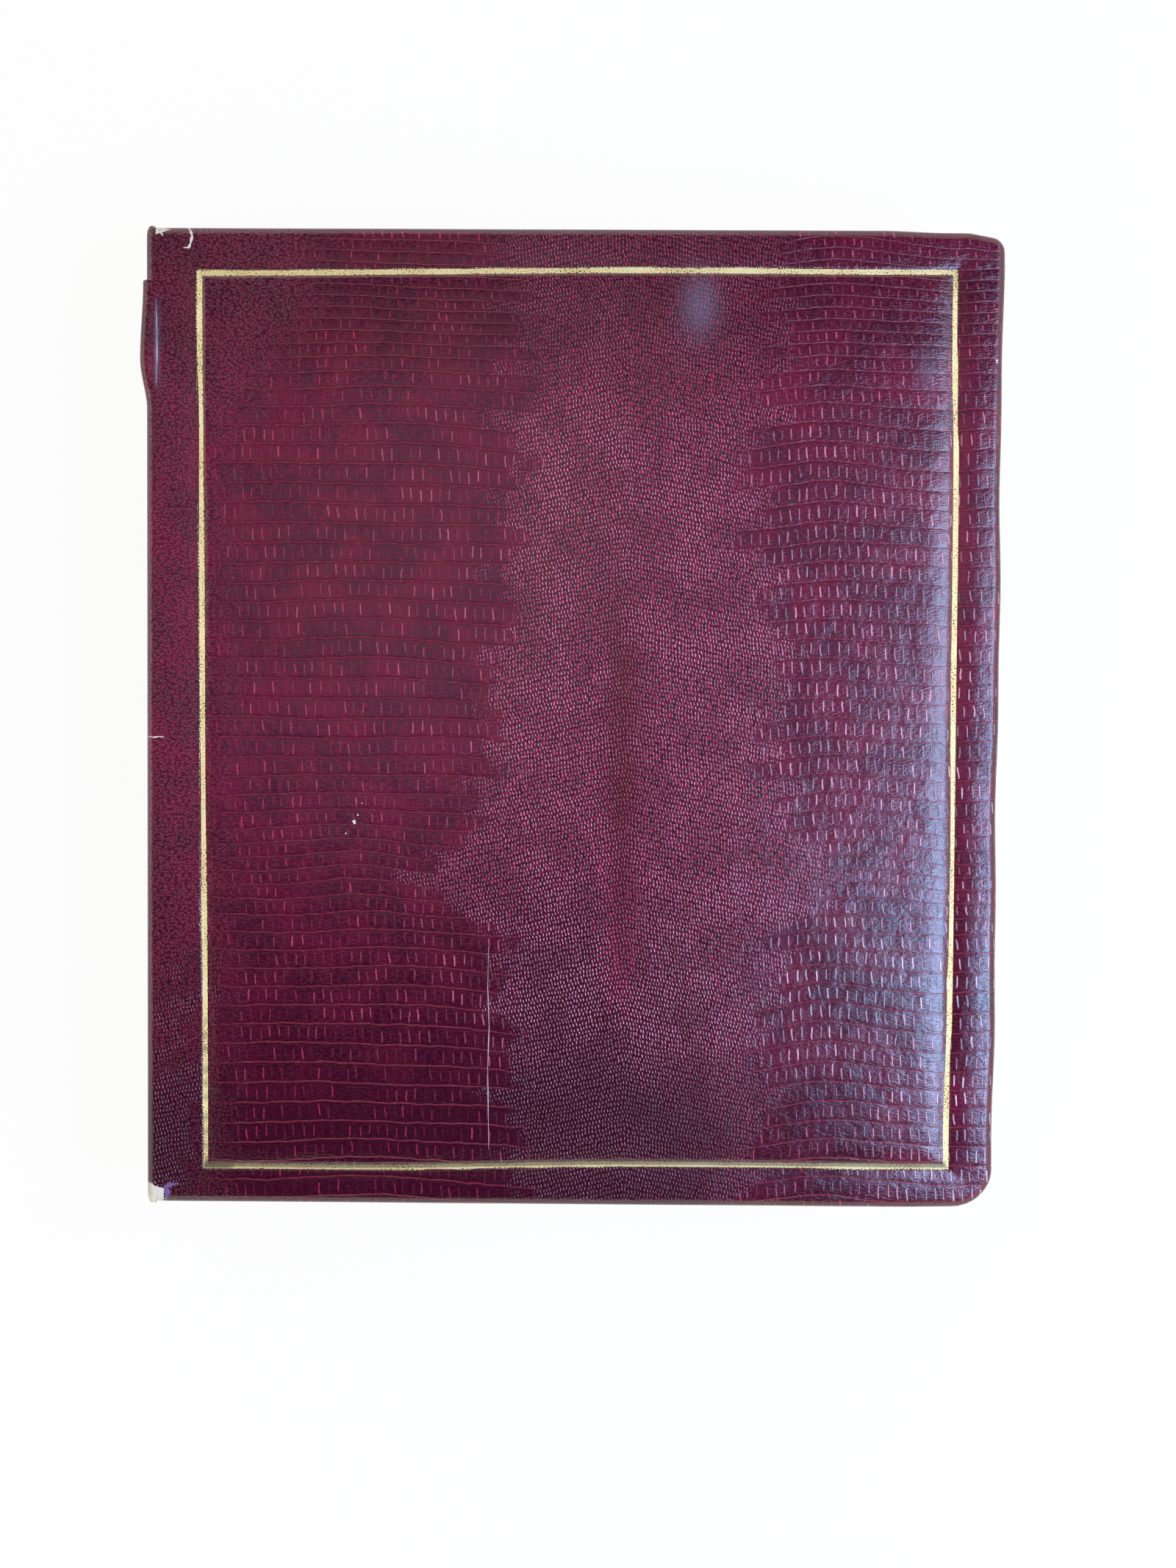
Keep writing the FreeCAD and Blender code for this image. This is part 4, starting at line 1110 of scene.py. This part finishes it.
def woven_cloth(name, light, dark, thread):
    # Plain weave of thick thread: over and under in both directions, matt
    material, add, surface = blank_material(name)
    skin = add("Attribute", attribute_name="skin")["Vector"]
    along, up, _ = add("SeparateXYZ", skin)
    waves = []
    for place in (along, up):
        turns = add("Math", place, math.pi / thread, **TIMES)[0]
        waves.append(add("Math", turns, operation="SINE")[0])
    weave = add("Math", *waves, **TIMES)[0]
    slub = add("TexNoise", skin, 1 / SLUB_SIZE, 3.0, **FLAT_NOISE)["Fac"]
    share = add("Math", weave, 0.35, slub, **TIMES_PLUS)[0]
    colour = add("Mix", share, dark, light, **COLOURS)[2]
    bump = add("Bump", 0.6, 0.06 * MM, weave, **BUMP)[0]
    plug(surface, {"Base Color": colour, "Roughness": 0.9, "Normal": bump})
    return material


STRIP_ROWS = 25


def cloth_strip(name, line, thickness, half_length, material):
    line = np.array(line, float)
    heading = np.gradient(line, axis=0)
    normal = np.stack([-heading[:, 1], heading[:, 0]], 1) / np.linalg.norm(heading, axis=1, keepdims=True)
    run = np.concatenate([[0], np.cumsum(np.linalg.norm(np.diff(line, axis=0), axis=1))])
    section = np.concatenate([line + normal * thickness / 2, (line - normal * thickness / 2)[::-1]])
    runs = np.concatenate([run, run[::-1]])
    size = len(section)
    points, skins = [], []
    for y in np.linspace(-half_length, half_length, STRIP_ROWS):
        points.append(np.column_stack([section[:, 0], np.full(size, y), section[:, 1]]))
        skins.append(np.column_stack([runs, np.full(size, y), np.zeros(size)]))
    rows = numbered(STRIP_ROWS, size)
    faces = loft(rows, ring=True) + [tuple(rows[0]), tuple(rows[-1])]
    strip = make_piece(name, np.concatenate(points), faces, material, smooth_angle=60)
    store(strip, "skin", list(np.concatenate(skins).T))
    return strip, (run[-1] * MM, 2 * half_length * MM)


# %% Spine lining
LINING_THICKNESS = 0.4
LINING_THINNING = 0.05
LINING_END = 0.3
lining_low, lining_high = node_box("spine_lining")
lining_radius = bow_x - lining_low[0] - LINING_THICKNESS / 2
lining_half = (lining_high[2] - lining_low[2]) / 2 - 0.2
lining_reach = math.asin(lining_half / lining_radius)
book_cloth = woven_cloth("burgundy_book_cloth", "#6e2439", "#3a0d1c", thread=0.6)


def lining_line(angles, inset):
    radius = lining_radius - inset
    return [(bow_x - radius * math.cos(a), middle_z + radius * math.sin(a)) for a in angles]


line = lining_line(np.linspace(-lining_reach, lining_reach, 21), 0.0)
thickness = LINING_THICKNESS - LINING_THINNING
half_length = lining_high[1] - LINING_END
spine_cloth, flat = cloth_strip("spine_lining_cloth", line, thickness, half_length, book_cloth)
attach(spine_cloth, "spine")
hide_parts("spine_lining")

# %% Joint cloths
CLOTH_THICKNESS = 0.3
CLOTH_END = 2
CLOTH_INSET = 0.38
CLOTH_DROP = 0.17
glued = lining_line(np.linspace(lining_reach * 0.35, lining_reach * 0.95, 6), CLOTH_INSET)
hinge_z = inside_z - CLOTH_DROP
crossing = [(seam_x + 0.45, hinge_z - 0.55), (seam_x + 0.75, hinge_z - 0.2), (seam_x + 1.2, hinge_z)]
JOINT_CLOTHS = (
    ("front_joint_cloth", "spine", "front_cover", (seam_x + 5, seam_x + 9, seam_x + 14), "front_endpaper"),
    ("back_joint_cloth", "back_cover", "spine", (seam_x + 1.6, seam_x + 1.9), "back_endpaper"),
)
for name, first, second, tongue, under in JOINT_CLOTHS:
    line = np.array(glued + crossing + [(x, hinge_z) for x in tongue])
    bend = [(seam_x + 0.1, hinge_z - 1.2), (seam_x + 1.2, hinge_z)]
    if first == "back_cover":
        line[:, 1] = top_z - line[:, 1]
        bend = [(x, top_z - z) for x, z in reversed(bend)]
    cloth, flat = cloth_strip(name, line, CLOTH_THICKNESS, lining_high[1] - CLOTH_END, book_cloth)
    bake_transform(cloth)
    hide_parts("spine_lining")

# %% [markdown]
# ## The leaves
# Each leaf is stiff card-weight paper, printed inside a plain margin with a faint grid of squares for
# placing stamps. Twenty leaves that differ only in how they have warped are a job for Geometry Nodes:
# one tree makes a sheet from its size, thickness and place, and a seed bends each one its own way.

# %% Leaf paper
GRID_SPACING = 5.0
GRID_LINE = 0.3
GRID_MARGIN = 10.0
GRID_STRENGTH = 0.35
LEAF_CLOUD = 25
TOOTH_SIZE = 0.5


def leaf_paper(low, high):
    # Smooth cream drawing paper, printed with a pale grey grid
    material, add, surface = blank_material("printed_leaf_paper")
    place = add("TexCoord")["Object"]
    x, y, _ = add("SeparateXYZ", place)
    marks = []
    printed = GRID_STRENGTH
    for side, start, end in ((x, low[0], high[0]), (y, low[1], high[1])):
        fold = add("Math", side, GRID_SPACING * MM / 2, operation="PINGPONG")[0]
        marks.append(add("MapRange", fold, GRID_LINE * MM, GRID_LINE * MM / 3, **SOFT)[0])
        reach = ((end - start) / 2 - GRID_MARGIN) * MM
        inside = add("Math", side, (start + end) / 2 * MM, reach, operation="COMPARE")[0]
        printed = add("Math", inside, printed, **TIMES)[0]
    mark = add("Math", *marks, operation="MAXIMUM")[0]
    mark = add("Math", mark, printed, **TIMES)[0]
    cloud = add("TexNoise", place, 1 / (LEAF_CLOUD * MM), 5.0, **NOISE)["Fac"]
    colour = add("Mix", cloud, "#f3ecd8", "#e2d6b8", **COLOURS)[2]
    colour = add("Mix", mark, colour, "#9aa3a8", **COLOURS)[2]
    tooth = add("TexNoise", place, 1 / (TOOTH_SIZE * MM), 2.0, **NOISE)["Fac"]
    bump = add("Bump", 0.2, 0.02 * MM, tooth, **BUMP)[0]
    plug(surface, {"Base Color": colour, "Roughness": 0.7, "Normal": bump})
    return material


# %% One tree for every leaf
LEAF_POINTS = (30, 36)
WARP_SIZE = 110
MERGE_DISTANCE = 0.002


def leaf_tree():
    tree = bpy.data.node_groups.new("album_leaf", "GeometryNodeTree")
    add = partial(add_node, tree)
    kinds = {"Width": "Float", "Length": "Float", "Thickness": "Float", "Middle": "Vector", "Warp": "Float"}
    kinds |= {"Seed": "Float", "Paper": "Material"}
    names = {}
    for name, kind in kinds.items():
        socket = tree.interface.new_socket(name, in_out="INPUT", socket_type="NodeSocket" + kind)
        names[name] = socket.identifier
    tree.interface.new_socket("Leaf", in_out="OUTPUT", socket_type="NodeSocketGeometry")
    given = add("NodeGroupInput")
    sheet = add("GeometryNodeMeshGrid", given["Width"], given["Length"], *LEAF_POINTS)["Mesh"]

    # A slow wave, which grows from the hinge to the free edge
    place = add("GeometryNodeInputPosition")[0]
    wave_at = ("Vector", "W", "Scale", "Detail")
    wave_values = (place, given["Seed"], 1 / (WARP_SIZE * MM), 1.0)
    wave = add("TexNoise", *wave_values, at=wave_at, noise_dimensions="4D")["Fac"]
    sink = add("Math", given["Warp"], -1.0, **TIMES)[0]
    wave = add("MapRange", wave, given["Warp"], sink, at=(0, 3, 4))[0]
    half = add("Math", given["Width"], 0.5, **TIMES)[0]
    across = add("SeparateXYZ", place)[0]
    freedom = add("Math", across, half, operation="ADD")[0]
    freedom = add("Math", freedom, given["Width"], operation="DIVIDE")[0]
    lift = add("Math", wave, freedom, **TIMES)[0]
    lift = add("CombineXYZ", lift, at=[2])[0]
    shift = add("VectorMath", lift, given["Middle"], operation="ADD")[0]
    sheet = add("GeometryNodeSetPosition", sheet, shift, at=("Geometry", "Offset"))[0]

    # The sheet gets its thickness, and its two sides become one closed piece
    thick_at = ("Mesh", "Offset Scale", "Individual")
    upper = add("GeometryNodeExtrudeMesh", sheet, given["Thickness"], False, at=thick_at)["Mesh"]
    under = add("GeometryNodeFlipFaces", sheet)[0]
    both = add("GeometryNodeJoinGeometry", upper)[0]
    plug(both.node, {0: under})
    closed = add("GeometryNodeMergeByDistance", both, MERGE_DISTANCE * MM, at=("Geometry", "Distance"))[0]
    real = add("GeometryNodeRealizeInstances", closed)[0]
    dressed = add("GeometryNodeSetMaterial", real, given["Paper"], at=("Geometry", "Material"))[0]
    add("NodeGroupOutput", dressed)
    return tree, names


def grow(name, tree, values):
    piece = bpy.data.objects.new(name, bpy.data.meshes.new(name))
    bpy.context.scene.collection.objects.link(piece)
    growing = piece.modifiers.new("grow", "NODES")
    growing.node_group = tree
    for identifier, value in values.items():
        growing[identifier] = value
    grown = bpy.data.meshes.new_from_object(piece.evaluated_get(bpy.context.evaluated_depsgraph_get()))
    piece.modifiers.clear()
    piece.data = grown
    return piece


# %% Twenty leaves
WARP = 0.25
SEED_STEP = 3.7
tree, names = leaf_tree()
leaves = sorted(body for body in frame["bodies"] if body.startswith("leaf_"))
paper = leaf_paper(*node_box(leaves[0]))
for number, leaf in enumerate(leaves):
    low, high = node_box(leaf)
    size, middle = (high - low) * MM, (low + high) / 2 * MM
    values = {"Width": size[0], "Length": size[1], "Thickness": size[2], "Paper": paper}
    values |= {"Middle": (middle[0], middle[1], low[2] * MM), "Warp": WARP * MM, "Seed": SEED_STEP * number}
    page = grow("page" + leaf[-3:], tree, {names[key]: value for key, value in values.items()})
    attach(page, leaf)
    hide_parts(leaf)
print(len(leaves), "leaves of", len(page.data.polygons), "faces")

# %% Linen hinges
LINEN_THICKNESS = 0.18
LINEN_OVERLAP = 6.0
LINEN_END = 2
LINEN_CLEARANCE = 0.02
linen = woven_cloth("bookbinders_linen", "#eee6d2", "#bfb394", thread=0.5)
linen_low, linen_high = node_box("linen_hinges")
half_length = linen_high[1] - LINEN_END
for leaf in leaves:
    low, high = node_box(leaf)
    hinge_x, level = low[0] + 0.2, (low[2] + high[2]) / 2
    lap = high[2] + LINEN_THICKNESS / 2 + LINEN_CLEARANCE
    line = [(linen_low[0], level), (hinge_x - 5, level), (hinge_x - 1.5, level)]
    line += [(hinge_x - 0.8, level + 0.05), (hinge_x - 0.4, level + 0.18), (hinge_x, lap - 0.05)]
    line += [(hinge_x + 0.5, lap), (hinge_x + LINEN_OVERLAP / 2, lap), (hinge_x + LINEN_OVERLAP, lap)]
    strip, flat = cloth_strip("linen_strip" + leaf[-3:], line, LINEN_THICKNESS, half_length, linen)
    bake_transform(strip)
    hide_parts("linen_hinges")

# %% [markdown]
# ## The peg binding
# The leaves' card stubs stand on three steel pegs, under a clamp bar with a sliding lock. These pieces
# are rigid and their CAD shapes are right, so they keep them. Nickel plate over rolled steel keeps the
# brushed lines of the rolling, all along the bar, and the turned pegs and knob are a little brighter.

# %% Steel and card
BRUSHED = (1 / 0.25, 1 / 12, 1 / 0.25)
SPOT_SIZE = 9
CARD_LAYERS = (1 / 6, 1 / 6, 1 / 0.35)


def nickel_plate(name, light, dark, roughness):
    # Nickel-plated steel: warm grey mirror, drawn out in fine lines along the bar
    material, add, surface = blank_material(name)
    place = add("TexCoord")["Object"]
    drawn = add("VectorMath", place, BRUSHED, **TIMES)[0]
    lines = add("TexNoise", drawn, 1 / MM, 3.0, **NOISE)["Fac"]
    spots = add("TexNoise", place, 1 / (SPOT_SIZE * MM), 4.0, **NOISE)["Fac"]
    aged = add("Math", lines, spots, **TIMES)[0]
    colour = add("Mix", aged, light, dark, **COLOURS)[2]
    rough = add("MapRange", spots, roughness - 0.08, roughness + 0.12, at=(0, 3, 4))[0]
    bump = add("Bump", 0.3, 0.01 * MM, lines, **BUMP)[0]
    plug(surface, {"Base Color": colour, "Metallic": 1.0, "Roughness": rough, "Normal": bump})
    return material


def stub_card():
    # Cream card, cut through: layers show on its edges as pale and dark lines
    material, add, surface = blank_material("cream_card")
    place = add("TexCoord")["Object"]
    layered = add("VectorMath", place, CARD_LAYERS, **TIMES)[0]
    layers = add("TexNoise", layered, 1 / MM, 3.0, **NOISE)["Fac"]
    colour = add("Mix", layers, "#f0e9d8", "#c3b696", **COLOURS)[2]
    bump = add("Bump", 0.4, 0.05 * MM, layers, **BUMP)[0]
    plug(surface, {"Base Color": colour, "Roughness": 0.85, "Normal": bump})
    return material


rolled_steel = nickel_plate("nickel_plated_strip", "#d8d4ca", "#8d897f", roughness=0.34)
finish_node(rolled_steel, "peg_plate", "clamp_bar", "lock_slide")
turned_steel = nickel_plate("turned_nickel", "#e4e0d6", "#a19c90", roughness=0.22)
finish_node(turned_steel, "pegs", "plate_rivets", "lock_knob")
finish_node(stub_card(), "leaf_stubs")

# %% [markdown]
# ## Floor and light
# The photograph shows the album on plain white with a cool window to its lower right. A pale floor
# keeps a soft shadow, and most of what the camera sees of it is its own white. Reflections see that
# white too, so that metal does not mirror a grey room.

# %% Floor
FLOOR_HALF = 3000.0
FLOOR_WHITE = 0.94
WHITE = "#ffffff"


def white_floor():
    # Matt white card: no gloss, and only a soft shadow on it
    material, add, surface = blank_material("white_card")
    plug(surface, {"Base Color": "#f4f4f4", "Roughness": 0.9})
    rays = add("LightPath")
    seen = add("Math", rays["Is Camera Ray"], rays["Is Glossy Ray"], operation="MAXIMUM")[0]
    seen = add("Math", seen, rays["Is Transmission Ray"], operation="MAXIMUM")[0]
    share = add("Math", seen, FLOOR_WHITE, **TIMES)[0]
    glow = add("Emission", WHITE, 1.0, at=("Color", "Strength"))[0]
    mixed = add("MixShader", share, surface.outputs[0], glow)[0]
    plug(material.node_tree.nodes["Material Output"], {"Surface": mixed})
    return material


corners = [(x * FLOOR_HALF, y * FLOOR_HALF, 0) for x, y in ((-1, -1), (1, -1), (1, 1), (-1, 1))]
floor = make_piece("floor", corners, [(0, 1, 2, 3)], white_floor())

# %% [markdown]
# The room's light is a warm ring of sky: dark overhead, so that the leather keeps its depth, brightest
# halfway up, and faint near the horizon, where the edges would mirror it. Low down, where a camera can
# look past the floor, the background is the floor's plain white, for reflections as well.

# %% Sky
world = bpy.data.worlds.new("soft_room")
world.use_nodes = True
sky = world.node_tree
add = partial(add_node, sky)

# Heights are the upward share of a direction, from 0 at the horizon to 1 overhead
facing = add("TexCoord")["Generated"]
height = add("SeparateXYZ", facing)[2]
upper = add("MapRange", height, 0.86, 0.5, 0.0, 1.8, **SOFT)[0]
lower = add("MapRange", height, 0.2, 0.42, 0.15, 1.0, **SOFT)[0]
ring = add("Math", upper, lower, **TIMES)[0]
glow = sky.nodes["Background"]
plug(glow, {"Strength": ring, "Color": "#fff0de"})
plain = add("Background", WHITE, 1.0, at=("Color", "Strength"))[0]
rays = add("LightPath")
seen = add("Math", rays["Is Camera Ray"], rays["Is Glossy Ray"], operation="MAXIMUM")[0]
seen = add("Math", seen, rays["Is Transmission Ray"], operation="MAXIMUM")[0]
horizon = add("MapRange", height, 0.24, 0.18, **SOFT)[0]
seen = add("Math", seen, horizon, **TIMES)[0]
mixed = add("MixShader", seen, glow.outputs[0], plain)[0]
plug(sky.nodes["World Output"], {"Surface": mixed})
bpy.context.scene.world = world
print("sky nodes", len(sky.nodes))


# %% Lamps
def soft_lamp(name, place, target, size, radiance, colour):
    light = bpy.data.lights.new(name, "AREA")
    light.shape = "RECTANGLE"
    light.size, light.size_y = (side * MM for side in size)
    light.energy = radiance * math.pi * light.size * light.size_y
    light.color = linear(colour)[:3]
    lamp = bpy.data.objects.new(name, light)
    bpy.context.scene.collection.objects.link(lamp)
    lamp.location = Vector(place) * MM
    lamp.rotation_euler = (Vector(place) - Vector(target)).to_track_quat("Z", "Y").to_euler()
    print(name, "lamp of", round(light.energy, 2), "W")


# Each lamp has a place, what it faces, a size, its radiance and a colour
soft_lamp("window", (360, -170, 540), (60, -30, 40), (180, 280), 17.0, "#a8ccff")
soft_lamp("curtain", (390, 75, 540), (60, -30, 40), (200, 260), 11.0, "#b4d3ff")
soft_lamp("ceiling", (-140, 170, 1050), (0, 0, 0), (500, 360), 0.62, "#ffe8da")
